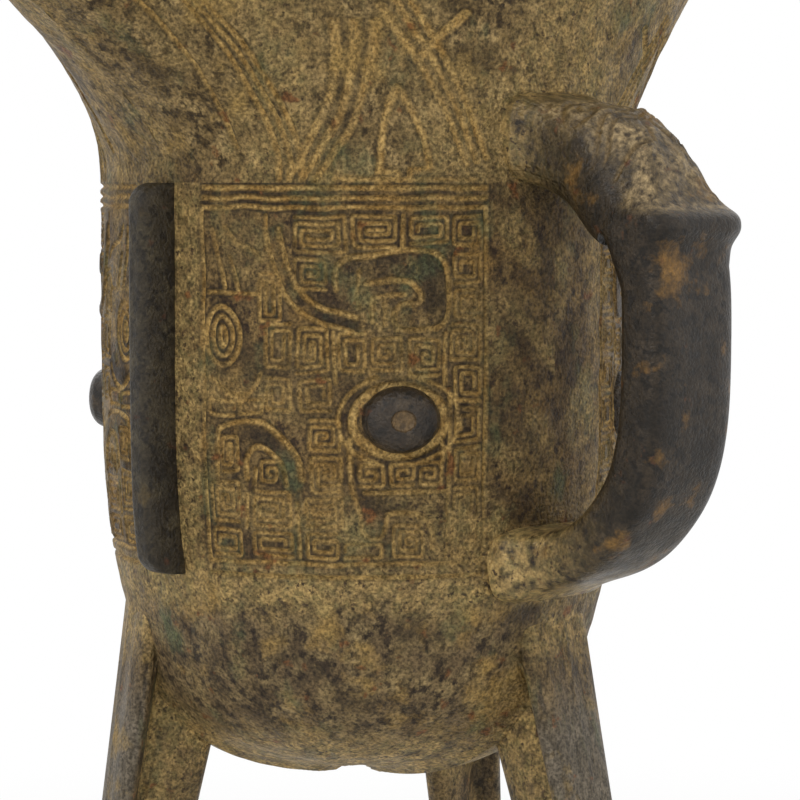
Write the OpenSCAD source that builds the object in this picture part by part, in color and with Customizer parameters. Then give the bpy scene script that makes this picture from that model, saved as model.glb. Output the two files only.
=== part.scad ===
// Bronze jue: a three-legged ritual wine cup with a spout, a tail, two capped posts and a strap handle.
// +Z is up, +X points to the spout, +Y to the handle. The origin is on the ground below the box's centre.

/* [Cup] */
// Outer radius of the cup's straight wall
cup_r = 33; // [30:0.5:37]
// Height of the cup's lowest point above the ground
cup_floor_z = 72; // [62:1:82]
// Height over which the egg-shaped bottom swells to the full radius
belly_h = 52; // [44:1:58]
// Height of the cup from its lowest point to where the neck flares
cup_h = 74.5; // [70:0.5:82]
// Thickness of the cast wall
wall = 2.8; // [2.4:0.1:3.4]

/* [Spout, mouth and tail] */
// Reach of the spout's lip from the cup's axis
spout_reach = 90; // [80:1:100]
// Half width of the spout at its lip
lip_half_w = 14; // [11:0.5:16]
// Rise of the spout's lip above the neck
lip_rise = 52.5; // [46:0.5:58]
// Depth of the spout's channel at its lip
lip_depth = 15; // [11:0.5:18]
// Half width of the mouth beside the posts
mouth_half_w = 38; // [35:0.5:41]
// Rise of the mouth's low sides above the neck
side_rise = 28.5; // [25:0.5:32]
// Reach of the tail's point from the cup's axis
tail_reach = 76; // [68:1:84]
// Rise of the tail's point above the neck
tail_rise = 53.5; // [46:0.5:60]

/* [Decorated band] */
// Height of the band's lower edge above the cup's lowest point
band_lift = 25.5; // [22:0.5:30]
// Height of the band
band_h = 47; // [40:0.5:48]
// Thickness of a flange
flange_t = 3.4; // [2:0.2:4]
// How far a flange stands out from the wall
flange_proud = 5; // [3:0.2:6.6]
// Height of an eye boss across the eye
boss_h = 7.6; // [6:0.2:10]
// Length of an eye boss along the band
boss_w = 8.9; // [7:0.2:11]
// How far an eye boss stands out from the wall
boss_proud = 2.2; // [1.4:0.1:3]
// Angle from the handle's axis to the eye bosses beside it
boss_angle = 36.5; // [30:0.5:42]

/* [Handle] */
// Distance from the cup's wall to the inside of the strap
finger_gap = 15.5; // [13:0.5:21]
// Width of the strap
strap_w = 14.5; // [11:0.5:16]
// Thickness of the strap
strap_t = 7; // [5:0.5:8]
// Height of the strap's lower end above the cup's lowest point
strap_foot_lift = 27; // [25:0.5:33]
// Width of the animal head across the brow
head_w = 15.5; // [13:0.5:17]
// Height of the head where it grows out of the neck
head_h = 9; // [7:0.5:11]

/* [Legs] */
// Width of a leg's outer face at the cup
leg_w = 14.5; // [11:0.5:16]
// Depth of a leg from its outer face to its inner edge at the cup
leg_d = 14.5; // [12:0.5:16]
// Outward slope of the legs in degrees
leg_splay = 9.5; // [6:0.5:11]
// How much thinner a leg is at its tip
leg_taper = 0.36; // [0.3:0.02:0.5]

/* [Posts] */
// Height of a post from the mouth's rim to its cap
post_h = 20; // [15:0.5:26]
// Thickness of a post at its foot
post_t = 6; // [5:0.25:7]
// Radius of a post's cap
cap_r = 7; // [6:0.25:9]
// Height of a post's cap
cap_h = 9; // [7:0.5:12]

/* [Seats] */
// How deep a joined piece is let into the wall
seat = 1.4; // [1:0.1:1.7]
// Clearance between a joined piece and its pocket
fit = 0.05; // [0.03:0.01:0.1]
// Side of a bronze spacer in the wall
chaplet = 4; // [3:0.25:5]

/* [Hidden] */

neck_z = cup_floor_z + cup_h;
band_z = cup_floor_z + band_lift;
band_mid_z = band_z + band_h * 0.41;
leg_angles = [100, -30, 201];
// How many degrees each leg leans out more than leg_splay, as on a casting set by eye
leg_lean = [2.5, -2, 0];
flange_angles = [0, 180, 270];
eye_angles = [90 - boss_angle, 90 + boss_angle, 270 + boss_angle, 270 - boss_angle];

// Heights where the rows of the mesh lie: the bottom is swept by belly_rows and the mouth by mouth_rows
belly_rows = 8;
mouth_rows = 9;
column_count = 86;
column_crowding = 13;

function lerp(a, b, t) = a + (b - a) * t;
function ring(n) = [for (i = [0:n - 1]) i];

// Radius of the cup's outer skin at height z, or of a surface that lies inset below that skin
function cup_radius(z, inset = 0) = let (up = (z - cup_floor_z - inset) / belly_h)
    up <= 0 ? 0 : (cup_r - inset) * pow(1 - pow(max(0, 1 - up), 3), 1 / 3);

// The mouth is lofted over stations that run round one half of the rim, from the spout's tip to the tail's.
// Each holds its angle at the neck, the rim's point as [along, across, rise], the upright rise of the skin
// at the neck, and the slant [out, across, up] with which the skin meets the rim.
side_x = -4;
function spout_point(t, w, z) = [lerp(cup_r, spout_reach, t), lerp(mouth_half_w, lip_half_w, w),
    lerp(side_rise, lip_rise, z)];
function tail_point(t, w, z) = [lerp(side_x, -tail_reach, t), mouth_half_w * w, lerp(side_rise, tail_rise, z)];
stations = [
    [0, [spout_reach, 0, lip_rise - lip_depth], 5, [32, 0, 11]],
    [9, [spout_reach, lip_half_w * 0.66, lip_rise - lip_depth * 0.8], 5, [32, 1, 11]],
    [18, [spout_reach, lip_half_w, lip_rise - lip_depth * 0.3], 5, [32, 1.5, 11]],
    [24, spout_point(0.99, 0.98, 1), 5, [30, 2, 11]],
    [36, spout_point(0.51, 0.875, 0.62), 5, [18, 5, 13]],
    [50, spout_point(0.07, 0.52, 0.23), 4, [9, 7.5, 10.5]],
    [64, spout_point(-0.23, 0.21, 0.04), 4, [4, 6, 9]],
    [90, [side_x, mouth_half_w, side_rise], 4, [0, 6, 10]],
    [118, tail_point(0.35, 0.95, 0.12), 4, [-6.5, 7.5, 11]],
    [140, tail_point(0.61, 0.74, 0.38), 4, [-12, 6, 14]],
    [160, tail_point(0.82, 0.4, 0.72), 3, [-18, 4, 17]],
    [172, tail_point(0.945, 0.15, 0.93), 3, [-19, 1.2, 19]],
    [180, [-tail_reach, 0, tail_rise], 3, [-20, 0, 20]],
];

// Smooth curve through the stations: flat vectors [angle, rim, lift, slant] with slopes from their neighbours
function flat(s) = [s[0], s[1][0], s[1][1], s[1][2], s[2], s[3][0], s[3][1], s[3][2]];
flat_stations = [for (s = stations) flat(s)];
last = len(stations) - 1;
function slope(i) = let (a = flat_stations[max(i - 1, 0)], b = flat_stations[min(i + 1, last)])
    (b - a) / (b[0] - a[0]);
function span(angle, i = 0) = i >= last - 1 || angle < stations[i + 1][0] ? i : span(angle, i + 1);
function station_at(angle) = let (
        i = span(angle),
        a = flat_stations[i],
        b = flat_stations[i + 1],
        h = b[0] - a[0],
        t = (angle - a[0]) / h,
        t2 = t * t,
        t3 = t2 * t)
    a * (2 * t3 - 3 * t2 + 1) + slope(i) * (h * (t3 - 2 * t2 + t)) + b * (3 * t2 - 2 * t3)
        + slope(i + 1) * (h * (t3 - t2));

// One column of the skin, from the bottom to the rim, at a signed angle from the spout
function column(angle) = let (
        s = station_at(abs(angle)),
        side = sign(angle),
        neck = [cup_r * cos(angle), cup_r * sin(angle), neck_z],
        rim = [s[1], side * s[2], neck_z + s[3]],
        above = neck + [0, 0, s[4]],
        below = rim - [s[5], side * s[6], s[7]])
    concat(
        [for (i = [1:belly_rows]) let (z = cup_floor_z + belly_h * pow(i / belly_rows, 2))
            [cup_radius(z) * cos(angle), cup_radius(z) * sin(angle), z]],
        [for (i = [0:mouth_rows]) let (t = i / mouth_rows, u = 1 - t)
            neck * (u * u * u) + above * (3 * u * u * t) + below * (3 * u * t * t) + rim * (t * t * t)]);

// Columns are crowded towards the spout's and the tail's tips, where the rim turns sharply
function column_angle(i) = let (t = i / column_count) 360 * t - column_crowding * sin(720 * t) - 180;
// Every other row is turned by half a column, so that no two neighbouring triangles of the skin are flat together
rows = belly_rows + mouth_rows + 1;
half_count = 2 * column_count;
half_columns = [for (i = ring(half_count)) column(column_angle(i / 2))];
function turned(j) = (rows - 1 - j) % 2;
function skin_point(i, j) = half_columns[2 * i + turned(j)][j];
function skin_normal(i, j) = let (
        c = 2 * i + turned(j),
        along = half_columns[(c + 1) % half_count][j] - half_columns[(c + half_count - 1) % half_count][j],
        up = half_columns[c][min(j + 1, rows - 1)] - half_columns[c][max(j - 1, 0)],
        n = cross(along, up))
    n / norm(n);
skin = [for (i = ring(column_count)) [for (j = ring(rows)) skin_point(i, j)]];
lining = [for (i = ring(column_count)) [for (j = ring(rows)) skin_point(i, j) - wall * skin_normal(i, j)]];

// Closed shell between two sheets of columns that meet along the rim and at one pole each
module shell(outer, inner, outer_pole, inner_pole) {
    n = len(outer);
    m = len(outer[0]);
    points = concat([for (c = outer) for (p = c) p], [for (c = inner) for (p = c) p], [outer_pole, inner_pole]);
    function at(side, i, j) = (side * n + (i % n)) * m + j;
    // Each square is cut along the diagonal that suits the turned rows
    function cut(q, straight) = straight ? [[q[2], q[1], q[0]], [q[3], q[2], q[0]]]
        : [[q[3], q[1], q[0]], [q[3], q[2], q[1]]];
    outside = [for (i = ring(n)) for (j = ring(m - 1))
        each cut([at(0, i, j), at(0, i + 1, j), at(0, i + 1, j + 1), at(0, i, j + 1)], turned(j) == 1)];
    inside = [for (i = ring(n)) for (j = ring(m - 1))
        each cut([at(1, i, j), at(1, i, j + 1), at(1, i + 1, j + 1), at(1, i + 1, j)], turned(j) == 1)];
    rim = [for (i = ring(n))
        each cut([at(0, i, m - 1), at(0, i + 1, m - 1), at(1, i + 1, m - 1), at(1, i, m - 1)], true)];
    poles = [for (i = ring(n)) each [
        [at(0, i, 0), at(0, i + 1, 0), 2 * n * m],
        [at(1, i + 1, 0), at(1, i, 0), 2 * n * m + 1]]];
    polyhedron(points, concat(outside, inside, rim, poles));
}

// Closed solid through a list of rings that all have the same number of points. Each end is a fan from its
// ring's first point, which sees all the others.
module loft(rings) {
    n = len(rings[0]);
    k = len(rings);
    points = [for (r = rings) for (p = r) p];
    sides = [for (j = ring(k - 1)) for (i = ring(n)) each [
        [(j + 1) * n + (i + 1) % n, j * n + (i + 1) % n, j * n + i],
        [(j + 1) * n + i, (j + 1) * n + (i + 1) % n, j * n + i]]];
    ends = [for (i = [1:n - 2]) each [[i, i + 1, 0], [(k - 1) * n + i + 1, (k - 1) * n + i, (k - 1) * n]]];
    polyhedron(points, concat(sides, ends));
}

// A leg is a blade with a T-like section: a broad outer face, a groove each side and a web that points inwards.
// Its section is drawn for a width and depth of 1, as [inwards, across], from the outer face's middle round.
leg_half = [[0, 0.28], [0.04, 0.48], [0.16, 0.5], [0.27, 0.33], [0.42, 0.24], [0.7, 0.21], [0.92, 0.13]];
leg_section = concat([[-0.03, 0]], leg_half, [[1, 0]], [for (i = [len(leg_half) - 1:-1:0])
    [leg_half[i][0], -leg_half[i][1]]]);
// The outer face leaves the wall at the root, and the top above it lies sunk in the wall
leg_root_z = cup_floor_z + 18;
leg_top_z = cup_floor_z + 21;
leg_rows = 9;
leg_seat_rows = 10;
leg_stand_out = 0.4;
leg_bow = 0.8;
foot_trim = 1;
function leg_outer(z, lean) = let (down = (leg_root_z - z) / leg_root_z)
    cup_radius(leg_root_z) + leg_stand_out + (leg_root_z - z) * tan(leg_splay + lean) + leg_bow * down * abs(down);
function leg_size(z, power) = lerp(1, leg_taper, pow(max(0, leg_top_z - z) / leg_top_z, power));
leg_width_power = 0.85;
leg_depth_power = 0.95;
// The web's inner side runs into the wall and follows it at the depth of the seat
function leg_ring(z, gap, lean) = let (
        w = leg_w * leg_size(z, leg_width_power) + 2 * gap,
        d = leg_d * leg_size(z, leg_depth_power) + 2 * gap,
        face = leg_outer(z, lean) + gap,
        deepest = cup_radius(z, seat + gap))
    [for (p = leg_section) let (r = face - p[0] * d, t = p[1] * w)
        [r > deepest ? r : sqrt(max(0, deepest * deepest - t * t)), t, z]];
leg_heights = concat([-foot_trim], [for (i = ring(leg_rows)) cup_floor_z * i / leg_rows],
    [for (i = [0:leg_seat_rows]) lerp(cup_floor_z, leg_top_z, pow(i / leg_seat_rows, 1.6))]);
module leg(i, gap = 0) {
    lean = leg_lean[i];
    heights = [for (z = leg_heights) z == leg_top_z ? z + gap : z];
    rotate([0, 0, leg_angles[i]]) difference() {
        loft([for (z = heights) leg_ring(z, gap, lean)]);
        translate([leg_outer(0, lean) - 2 * leg_d, -leg_w, -3 * foot_trim])
            cube([3 * leg_d, 2 * leg_w, 3 * foot_trim]);
    }
}

// A flange is a plate in the radial plane whose inner edge follows the wall at the depth of the seat
flange_rows = 8;
flange_corner = 2.5;
module flange(angle, gap = 0) {
    low = band_z - gap;
    high = band_z + band_h + gap;
    inner = [for (i = [0:flange_rows]) let (z = lerp(low, high, i / flange_rows))
        [cup_radius(z, seat + gap), z]];
    outer = [for (i = [0:flange_rows]) let (z = lerp(high - flange_corner, low + flange_corner, i / flange_rows))
        [cup_radius(z) + flange_proud + gap, z]];
    top = [cup_radius(high) + flange_proud - flange_corner * 0.7, high];
    foot = [cup_radius(low) + flange_proud - flange_corner * 0.7, low];
    rotate([0, 0, angle]) rotate([90, 0, 0]) linear_extrude(flange_t + 2 * gap, center = true)
        polygon(concat(inner, [top], outer, [foot]));
}

// An eye boss is an oval dome with a flat pupil, on an oval tenon let into the wall
boss_sides = 24;
boss_rings = [[1, -1], [1, 0], [0.93, 0.42], [0.78, 0.72], [0.55, 0.93], [0.34, 1], [0.3, 0.86]];
function boss_ring(scale, lift) = let (x = cup_radius(band_mid_z) + (lift < 0 ? -seat : lift * boss_proud))
    [for (i = ring(boss_sides)) let (a = 360 * i / boss_sides)
        [x, scale * boss_w / 2 * cos(a), band_mid_z + scale * boss_h / 2 * sin(a)]];
module eye_boss(angle) {
    rotate([0, 0, angle]) loft([for (r = boss_rings) boss_ring(r[0], r[1])]);
}
module eye_pocket(angle) {
    x = cup_radius(band_mid_z);
    rotate([0, 0, angle]) translate([x - seat - fit, 0, band_mid_z]) rotate([0, 90, 0]) hull() {
        scale([(boss_h + 2 * fit) / 2, (boss_w + 2 * fit) / 2, 1]) cylinder(r = 1, h = seat * 3, $fn = boss_sides);
    }
}

// The handle's centre line runs in the plane of +Y, as [distance from the axis, height]
strap_mid = cup_r + finger_gap + strap_t / 2;
foot_z = cup_floor_z + strap_foot_lift;
snout_z = neck_z - 6;
strap_line = [[cup_r - 0.9, foot_z], [cup_r + 3.5, foot_z + 0.8], [cup_r + 9, foot_z + 2.6],
    [strap_mid - 6, foot_z + 5.6], [strap_mid - 2.4, foot_z + 10.5], [strap_mid - 0.5, foot_z + 17],
    [strap_mid, foot_z + 26], [strap_mid - 0.4, snout_z - 6], [strap_mid - 2.8, snout_z + 0.4]];
strap_steps = 20;
strap_sides = 12;
strap_roundness = 0.46;
function on_line(line, t) = let (n = len(line) - 1, x = min(t * n, n - 0.0001), i = floor(x), f = x - i,
        p0 = line[max(i - 1, 0)], p1 = line[i], p2 = line[i + 1], p3 = line[min(i + 2, n)])
    (2 * p1 + (p2 - p0) * f + (2 * p0 - 5 * p1 + 4 * p2 - p3) * (f * f)
        + (3 * p1 - p0 - 3 * p2 + p3) * (f * f * f)) / 2;
// Rounded oblong of width w and thickness t, square to the centre line
function strap_ring(t, gap) = let (
        p = on_line(strap_line, t),
        d = on_line(strap_line, min(1, t + 0.01)) - on_line(strap_line, max(0, t - 0.01)),
        u = d / norm(d),
        w = strap_w / 2 * (t < 0.2 ? lerp(1.15, 1, t / 0.2) : 1) + gap,
        h = strap_t / 2 + gap)
    [for (i = ring(strap_sides)) let (a = 360 * (i + 0.5) / strap_sides,
            across = w * sign(cos(a)) * pow(abs(cos(a)), strap_roundness),
            out = h * sign(sin(a)) * pow(abs(sin(a)), strap_roundness))
        [across, p[0] + u[1] * out, p[1] - u[0] * out]];
module strap(gap = 0) {
    rings = [for (i = [0:strap_steps]) strap_ring(i / strap_steps, gap)];
    foot = [for (p = rings[0]) p - [0, gap, 0]];
    top = [for (p = rings[strap_steps]) p + [0, 0, gap]];
    loft(concat([foot], [for (i = [1:strap_steps - 1]) rings[i]], [top]));
}

// The head: rounded blocks blended along a line from the neck to the snout, which is a cross roll
head_root_z = neck_z + 3.5;
head_line = [
    // [distance from the axis, height, half width, half height, slope in degrees]
    [cup_r - 0.9, head_root_z, head_w / 2 * 0.82, head_h / 2, 0],
    [cup_r + 6.3, head_root_z - 2.1, head_w / 2 * 0.86, head_h / 2 * 1.27, -6],
    [strap_mid - 6.9, head_root_z - 5, head_w / 2 * 0.96, head_h / 2 * 1.56, -17],
    [strap_mid - 3.2, head_root_z - 7.9, head_w / 2, head_h / 2 * 1.45, -38],
    [strap_mid - 1.6, snout_z - 1.5, max(head_w / 2 * 0.96, strap_w / 2 + 0.8), strap_t / 2 + 1.6, -80],
    [strap_mid - 1.3, snout_z - 8, strap_w / 2 - 0.4, strap_t / 2 + 0.2, -88],
];
module head_block(s, gap = 0) {
    translate([0, s[0], s[1]]) rotate([s[4], 0, 0])
        scale([s[2] + gap, 0.6 + gap, s[3] + gap]) rotate([90, 0, 0]) cylinder(r = 1, h = 1, center = true, $fn = 24);
}
module head_root(gap = 0) {
    hull() {
        head_block(head_line[0], gap);
        head_block(head_line[1], gap);
    }
}
ear_reach = 2.2;
module ear(side) {
    s = head_line[3];
    translate([side * (s[2] - 1.2), s[0] - 1.4, s[1] + s[3] * 0.75]) rotate([-40, side * 24, 0])
        scale([1.3, 1.1, ear_reach]) sphere(r = 1, $fn = 16);
}
module horn(side) {
    hull() {
        translate([side * 1.6, strap_mid - 9.5, head_root_z + head_h * 0.27]) sphere(r = 1.1, $fn = 12);
        translate([side * (head_w / 2 - 1.6), strap_mid - 7.4, head_root_z + head_h * 0.1]) sphere(r = 1.3, $fn = 12);
    }
}
module head_eye(side) {
    s = head_line[3];
    hull() {
        translate([side * s[2] * 0.62, s[0] + 2.3, s[1] + 2.2]) sphere(r = 1.3, $fn = 12);
        translate([side * s[2] * 0.84, s[0] + 0.9, s[1] + 3.2]) sphere(r = 0.9, $fn = 12);
    }
}
snout_r = 1.8;
module snout() {
    hull() for (side = [-1, 1]) translate([side * (strap_w / 2 - 2), strap_mid + strap_t / 2 - 0.3, snout_z])
        sphere(r = snout_r, $fn = 16);
}

module placed() {
    translate([-box_centre_x, -box_centre_y, 0]) children();
}
// The box's centre follows from what reaches furthest each way
box_centre_x = (spout_reach - tail_reach) / 2;
box_centre_y = (strap_mid + strap_t / 2 + snout_r - max(mouth_half_w, cup_r + flange_proud)) / 2;

// Posts stand on the rim where the spout opens into the mouth, notched down over it
post_station = station_at(47);
post_x = post_station[1];
post_y = post_station[2];
post_rim_z = neck_z + post_station[3];
post_notch = 5;
post_neck = 0.62;
post_tenon_r = 1.6;
post_tenon_h = 3;
module post_block(gap = 0) {
    hull() {
        translate([0, 0, post_rim_z - post_notch - gap]) cylinder(r = post_t / 2 + gap, h = 1, $fn = 32);
        translate([0, 0, post_rim_z + post_h - 1]) cylinder(r = post_t / 2 * post_neck + gap, h = 1, $fn = 32);
    }
}
module post(side) {
    color("#6b5f46") placed() translate([post_x, side * post_y, 0]) {
        post_block();
        translate([0, 0, post_rim_z + post_h - 1]) cylinder(r = post_tenon_r, h = post_tenon_h + 1);
    }
}
module post_cap(side) {
    rim = cap_h * 0.16;
    seat_z = post_rim_z + post_h + fit;
    color("#6b5f46") placed() translate([post_x, side * post_y, seat_z]) difference() {
        rotate_extrude($fn = 48) polygon([
            [0, 0], [cap_r * 0.8, 0], [cap_r, rim * 0.6], [cap_r, rim * 1.3],
            for (i = [1:6]) let (a = 90 * i / 6)
                [cap_r * (1 - 0.78 * sin(a * 0.92)) - 0.1 * i / 6, rim * 1.3 + (cap_h * 0.8 - rim) * (1 - cos(a))],
            [0.6, cap_h], [0, cap_h]]);
        translate([0, 0, -1]) cylinder(r = post_tenon_r + fit, h = post_tenon_h + 1 + fit);
    }
}

// Spacers that held the core off the mould: square plugs through the bottom, flush inside and out
chaplet_angles = [30, 150, 270];
chaplet_lift = 3.2;
chaplet_sunk = 0.05;
chaplet_corner = 0.7;
module chaplet_plugs(gap = 0, longer = -2 * chaplet_sunk) {
    z = cup_floor_z + chaplet_lift;
    dz = 0.2;
    tilt = atan2(cup_radius(z - dz) - cup_radius(z + dz), 2 * dz);
    corner = chaplet / 2 - chaplet_corner;
    for (a = chaplet_angles) rotate([0, 0, a]) translate([cup_radius(z), 0, z]) rotate([0, 90 - tilt, 0])
        translate([0, 0, -wall / 2]) hull() for (x = [-corner, corner], y = [-corner, corner])
            translate([x, y, 0]) cylinder(r = chaplet_corner + gap, h = wall + longer, center = true, $fn = 16);
}

module cup_body() {
    color("#6f6042") placed() difference() {
        shell(skin, lining, [0, 0, cup_floor_z], [0, 0, cup_floor_z + wall]);
        for (i = ring(len(leg_angles))) leg(i, fit);
        for (a = flange_angles) flange(a, fit);
        for (a = eye_angles) eye_pocket(a);
        for (side = [-1, 1]) translate([post_x, side * post_y, 0]) post_block(fit);
        strap(fit);
        head_root(fit);
        chaplet_plugs(fit, wall);
    }
}
module wall_chaplets() {
    color("#7d6c4a") placed() chaplet_plugs();
}
module handle_strap() {
    color("#4a4036") placed() strap();
}
module handle_head() {
    color("#4a4036") placed() difference() {
        union() {
            head_root();
            for (i = [1:4]) hull() {
                head_block(head_line[i]);
                head_block(head_line[i + 1]);
            }
            for (side = [-1, 1]) {
                ear(side);
                horn(side);
                head_eye(side);
            }
            snout();
        }
        strap(fit);
    }
}
module band_flange(angle) {
    color("#4f4634") placed() flange(angle);
}
module band_eye(angle) {
    color("#5a4c34") placed() eye_boss(angle);
}
module vessel_leg(i) {
    color("#71685b") placed() leg(i);
}

cup_body();
handle_strap();
handle_head();
band_flange(flange_angles[0]);  // spout_flange
band_flange(flange_angles[1]);  // tail_flange
band_flange(flange_angles[2]);  // rear_flange
band_eye(eye_angles[0]);  // spout_side_eye
band_eye(eye_angles[1]);  // tail_side_eye
band_eye(eye_angles[2]);  // rear_spout_eye
band_eye(eye_angles[3]);  // rear_tail_eye
vessel_leg(0);  // leg_under_handle
vessel_leg(1);  // leg_spout_side
vessel_leg(2);  // leg_tail_side
post(1);  // front_post
post(-1);  // rear_post
post_cap(1);  // front_post_cap
post_cap(-1);  // rear_post_cap
wall_chaplets();
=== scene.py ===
"""A bronze jue: the dressed model of the three-legged wine cup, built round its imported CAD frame.

All shapes are worked out in millimetres about the cup's own axis, with +X to the spout, +Y to the handle and
+Z up. add_piece moves them onto the frame's axis and turns them into metres.
"""

import math

import bpy
import numpy as np
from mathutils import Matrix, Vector


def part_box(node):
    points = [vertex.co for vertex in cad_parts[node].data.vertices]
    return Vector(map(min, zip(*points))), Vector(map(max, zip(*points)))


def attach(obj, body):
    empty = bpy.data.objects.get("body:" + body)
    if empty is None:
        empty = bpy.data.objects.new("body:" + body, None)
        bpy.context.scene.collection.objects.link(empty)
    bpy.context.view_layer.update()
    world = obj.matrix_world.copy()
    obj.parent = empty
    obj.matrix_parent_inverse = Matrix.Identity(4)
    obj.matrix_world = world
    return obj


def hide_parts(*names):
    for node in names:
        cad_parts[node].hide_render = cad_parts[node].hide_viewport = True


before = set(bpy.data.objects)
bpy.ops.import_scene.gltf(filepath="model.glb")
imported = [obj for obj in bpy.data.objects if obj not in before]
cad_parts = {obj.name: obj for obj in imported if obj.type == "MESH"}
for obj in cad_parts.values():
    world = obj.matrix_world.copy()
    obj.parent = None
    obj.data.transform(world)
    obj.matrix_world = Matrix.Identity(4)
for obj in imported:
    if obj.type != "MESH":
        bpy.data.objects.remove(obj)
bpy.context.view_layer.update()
MM = 0.001

# ---- Sizes, in millimetres, the same as the CAD part's ----
CUP_R = 33.0
FLOOR_Z = 72.0
BELLY_H = 52.0
NECK_Z = 146.5
WALL = 2.8
SPOUT_REACH = 90.0
LIP_HALF_W = 14.0
LIP_RISE = 52.5
LIP_DEPTH = 15.0
MOUTH_HALF_W = 38.0
SIDE_RISE = 28.5
SIDE_X = -4.0
TAIL_REACH = 76.0
TAIL_RISE = 53.5
BAND_LOW = 97.5
BAND_HIGH = 144.5
FLANGE_T = 3.4
FLANGE_PROUD = 5.0
BOSS_H = 7.6
BOSS_W = 8.9
BOSS_PROUD = 2.2
BOSS_ANGLE = 36.5
BOSS_Z = BAND_LOW + 0.41 * (BAND_HIGH - BAND_LOW)
STRAP_MID = 52.0
STRAP_W = 14.5
STRAP_T = 7.0
FOOT_Z = 99.0
SNOUT_Z = 140.5
HEAD_ROOT_Z = 150.0
HEAD_W = 15.5
HEAD_H = 9.0
LEG_W = 14.5
LEG_D = 14.5
LEG_TIP = 0.36
LEG_SPLAY = 9.5
LEG_ROOT_Z = FLOOR_Z + 18.0
LEG_TOP_Z = FLOOR_Z + 21.0
POST_H = 20.0
POST_T = 6.0
CAP_R = 7.0
CAP_H = 9.0
SEAT = 1.4
CHAPLET = 4.0
# Each leg's angle round the axis, and how many degrees it leans out more than the common splay
LEGS = {"leg_under_handle": (100.0, 2.5), "leg_spout_side": (-30.0, -2.0), "leg_tail_side": (201.0, 0.0)}
FLANGE_ANGLES = {"spout_flange": 0.0, "tail_flange": 180.0, "rear_flange": 270.0}
EYE_ANGLES = {
    "spout_side_eye": 90.0 - BOSS_ANGLE,
    "tail_side_eye": 90.0 + BOSS_ANGLE,
    "rear_spout_eye": 270.0 + BOSS_ANGLE,
    "rear_tail_eye": 270.0 - BOSS_ANGLE,
}
QUARTER = CUP_R * math.pi / 2

# The cup's axis in the frame lies midway between the spout's and the tail's flanges
spout_low, spout_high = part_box("spout_flange")
tail_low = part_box("tail_flange")[0]
axis_mm = np.array([(spout_high.x + tail_low.x) / 2, (spout_low.y + spout_high.y) / 2, 0.0]) / MM


# ---- Meshes from grids of points ----
def squares(n, m, around=False):
    """Faces between neighbouring points of an n by m grid, which closes on itself if around is true."""
    i = np.arange(n if around else n - 1)[:, None]
    j = np.arange(m - 1)[None, :]
    k = (i + 1) % n
    return np.stack([i * m + j, k * m + j, k * m + j + 1, i * m + j + 1], axis=-1).reshape(-1, 4)


def fan(ring, centre, outward):
    """Triangles from each edge of a closed ring of point numbers to one centre point."""
    after = np.roll(ring, -1)
    middle = np.full(len(ring), centre)
    order = [ring, after, middle] if outward else [after, ring, middle]
    return np.stack(order, axis=-1)


def add_piece(name, points, faces, finish, slot_name, nodes, **marks):
    """A mesh at the frame's origin with its place in its points, its marks as point attributes."""
    mesh = bpy.data.meshes.new(name)
    points = (np.asarray(points, float).reshape(-1, 3) + axis_mm) * MM
    groups = faces if isinstance(faces, list) else [faces]
    corners = np.concatenate([g.ravel() for g in groups])
    sizes = np.concatenate([np.full(len(g), g.shape[1]) for g in groups])
    starts = np.concatenate([[0], np.cumsum(sizes)[:-1]])
    mesh.vertices.add(len(points))
    mesh.vertices.foreach_set("co", points.astype(np.float32).ravel())
    mesh.loops.add(len(corners))
    mesh.loops.foreach_set("vertex_index", corners.astype(np.int32))
    mesh.polygons.add(len(sizes))
    mesh.polygons.foreach_set("loop_start", starts.astype(np.int32))
    mesh.update(calc_edges=True)
    mesh.validate()
    mesh.shade_smooth()
    for mark, values in marks.items():
        layer = mesh.attributes.new(mark, "FLOAT", "POINT")
        layer.data.foreach_set("value", np.asarray(values, np.float32).ravel())
    piece = bpy.data.objects.new(name, mesh)
    bpy.context.scene.collection.objects.link(piece)
    mesh.materials.append(finish)
    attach(piece, "root")
    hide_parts(*nodes)
    return piece


def turned(points, degrees):
    """Points turned about the cup's axis, from the plane of +X."""
    a = math.radians(degrees)
    x, y, z = points[..., 0], points[..., 1], points[..., 2]
    return np.stack([x * math.cos(a) - y * math.sin(a), x * math.sin(a) + y * math.cos(a), z], axis=-1)


def closed_loft(rings):
    """Points and faces of a solid through an (n, m, 3) stack of n rings of m points, with a fan at each
    end."""
    n, m = rings.shape[:2]
    points = np.concatenate([rings.reshape(-1, 3), rings[:1].mean(axis=1), rings[-1:].mean(axis=1)])
    sides = squares(m, n, around=True)
    sides = (sides % n) * m + sides // n
    first = fan(np.arange(m), n * m, outward=False)
    last = fan(np.arange(m) + (n - 1) * m, n * m + 1, outward=True)
    return points, [sides, first, last]


def along(knots, t):
    """Smooth curve through rows of numbers: the cubic whose slope at a row is half the step between its
    neighbours."""
    knots = np.asarray(knots, float)
    last = len(knots) - 1
    x = np.clip(np.asarray(t, float) * last, 0, last - 1e-9)
    i = x.astype(int)
    f = (x - i)[:, None]
    a, b, c, d = knots[np.maximum(i - 1, 0)], knots[i], knots[i + 1], knots[np.minimum(i + 2, last)]
    return b + 0.5 * f * (c - a + f * (2 * a - 5 * b + 4 * c - d + f * (3 * (b - c) + d - a)))


def rounded(turn, power):
    """A circle squared up: cosine and sine raised to a power below 1."""
    c, s = np.cos(turn), np.sin(turn)
    return np.sign(c) * np.abs(c) ** power, np.sign(s) * np.abs(s) ** power


def ease(x):
    """0 below 0, 1 above 1 and a smooth step between them."""
    x = np.clip(x, 0, 1)
    return x * x * (3 - 2 * x)


def lerp(a, b, t):
    return a + (b - a) * t


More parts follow.
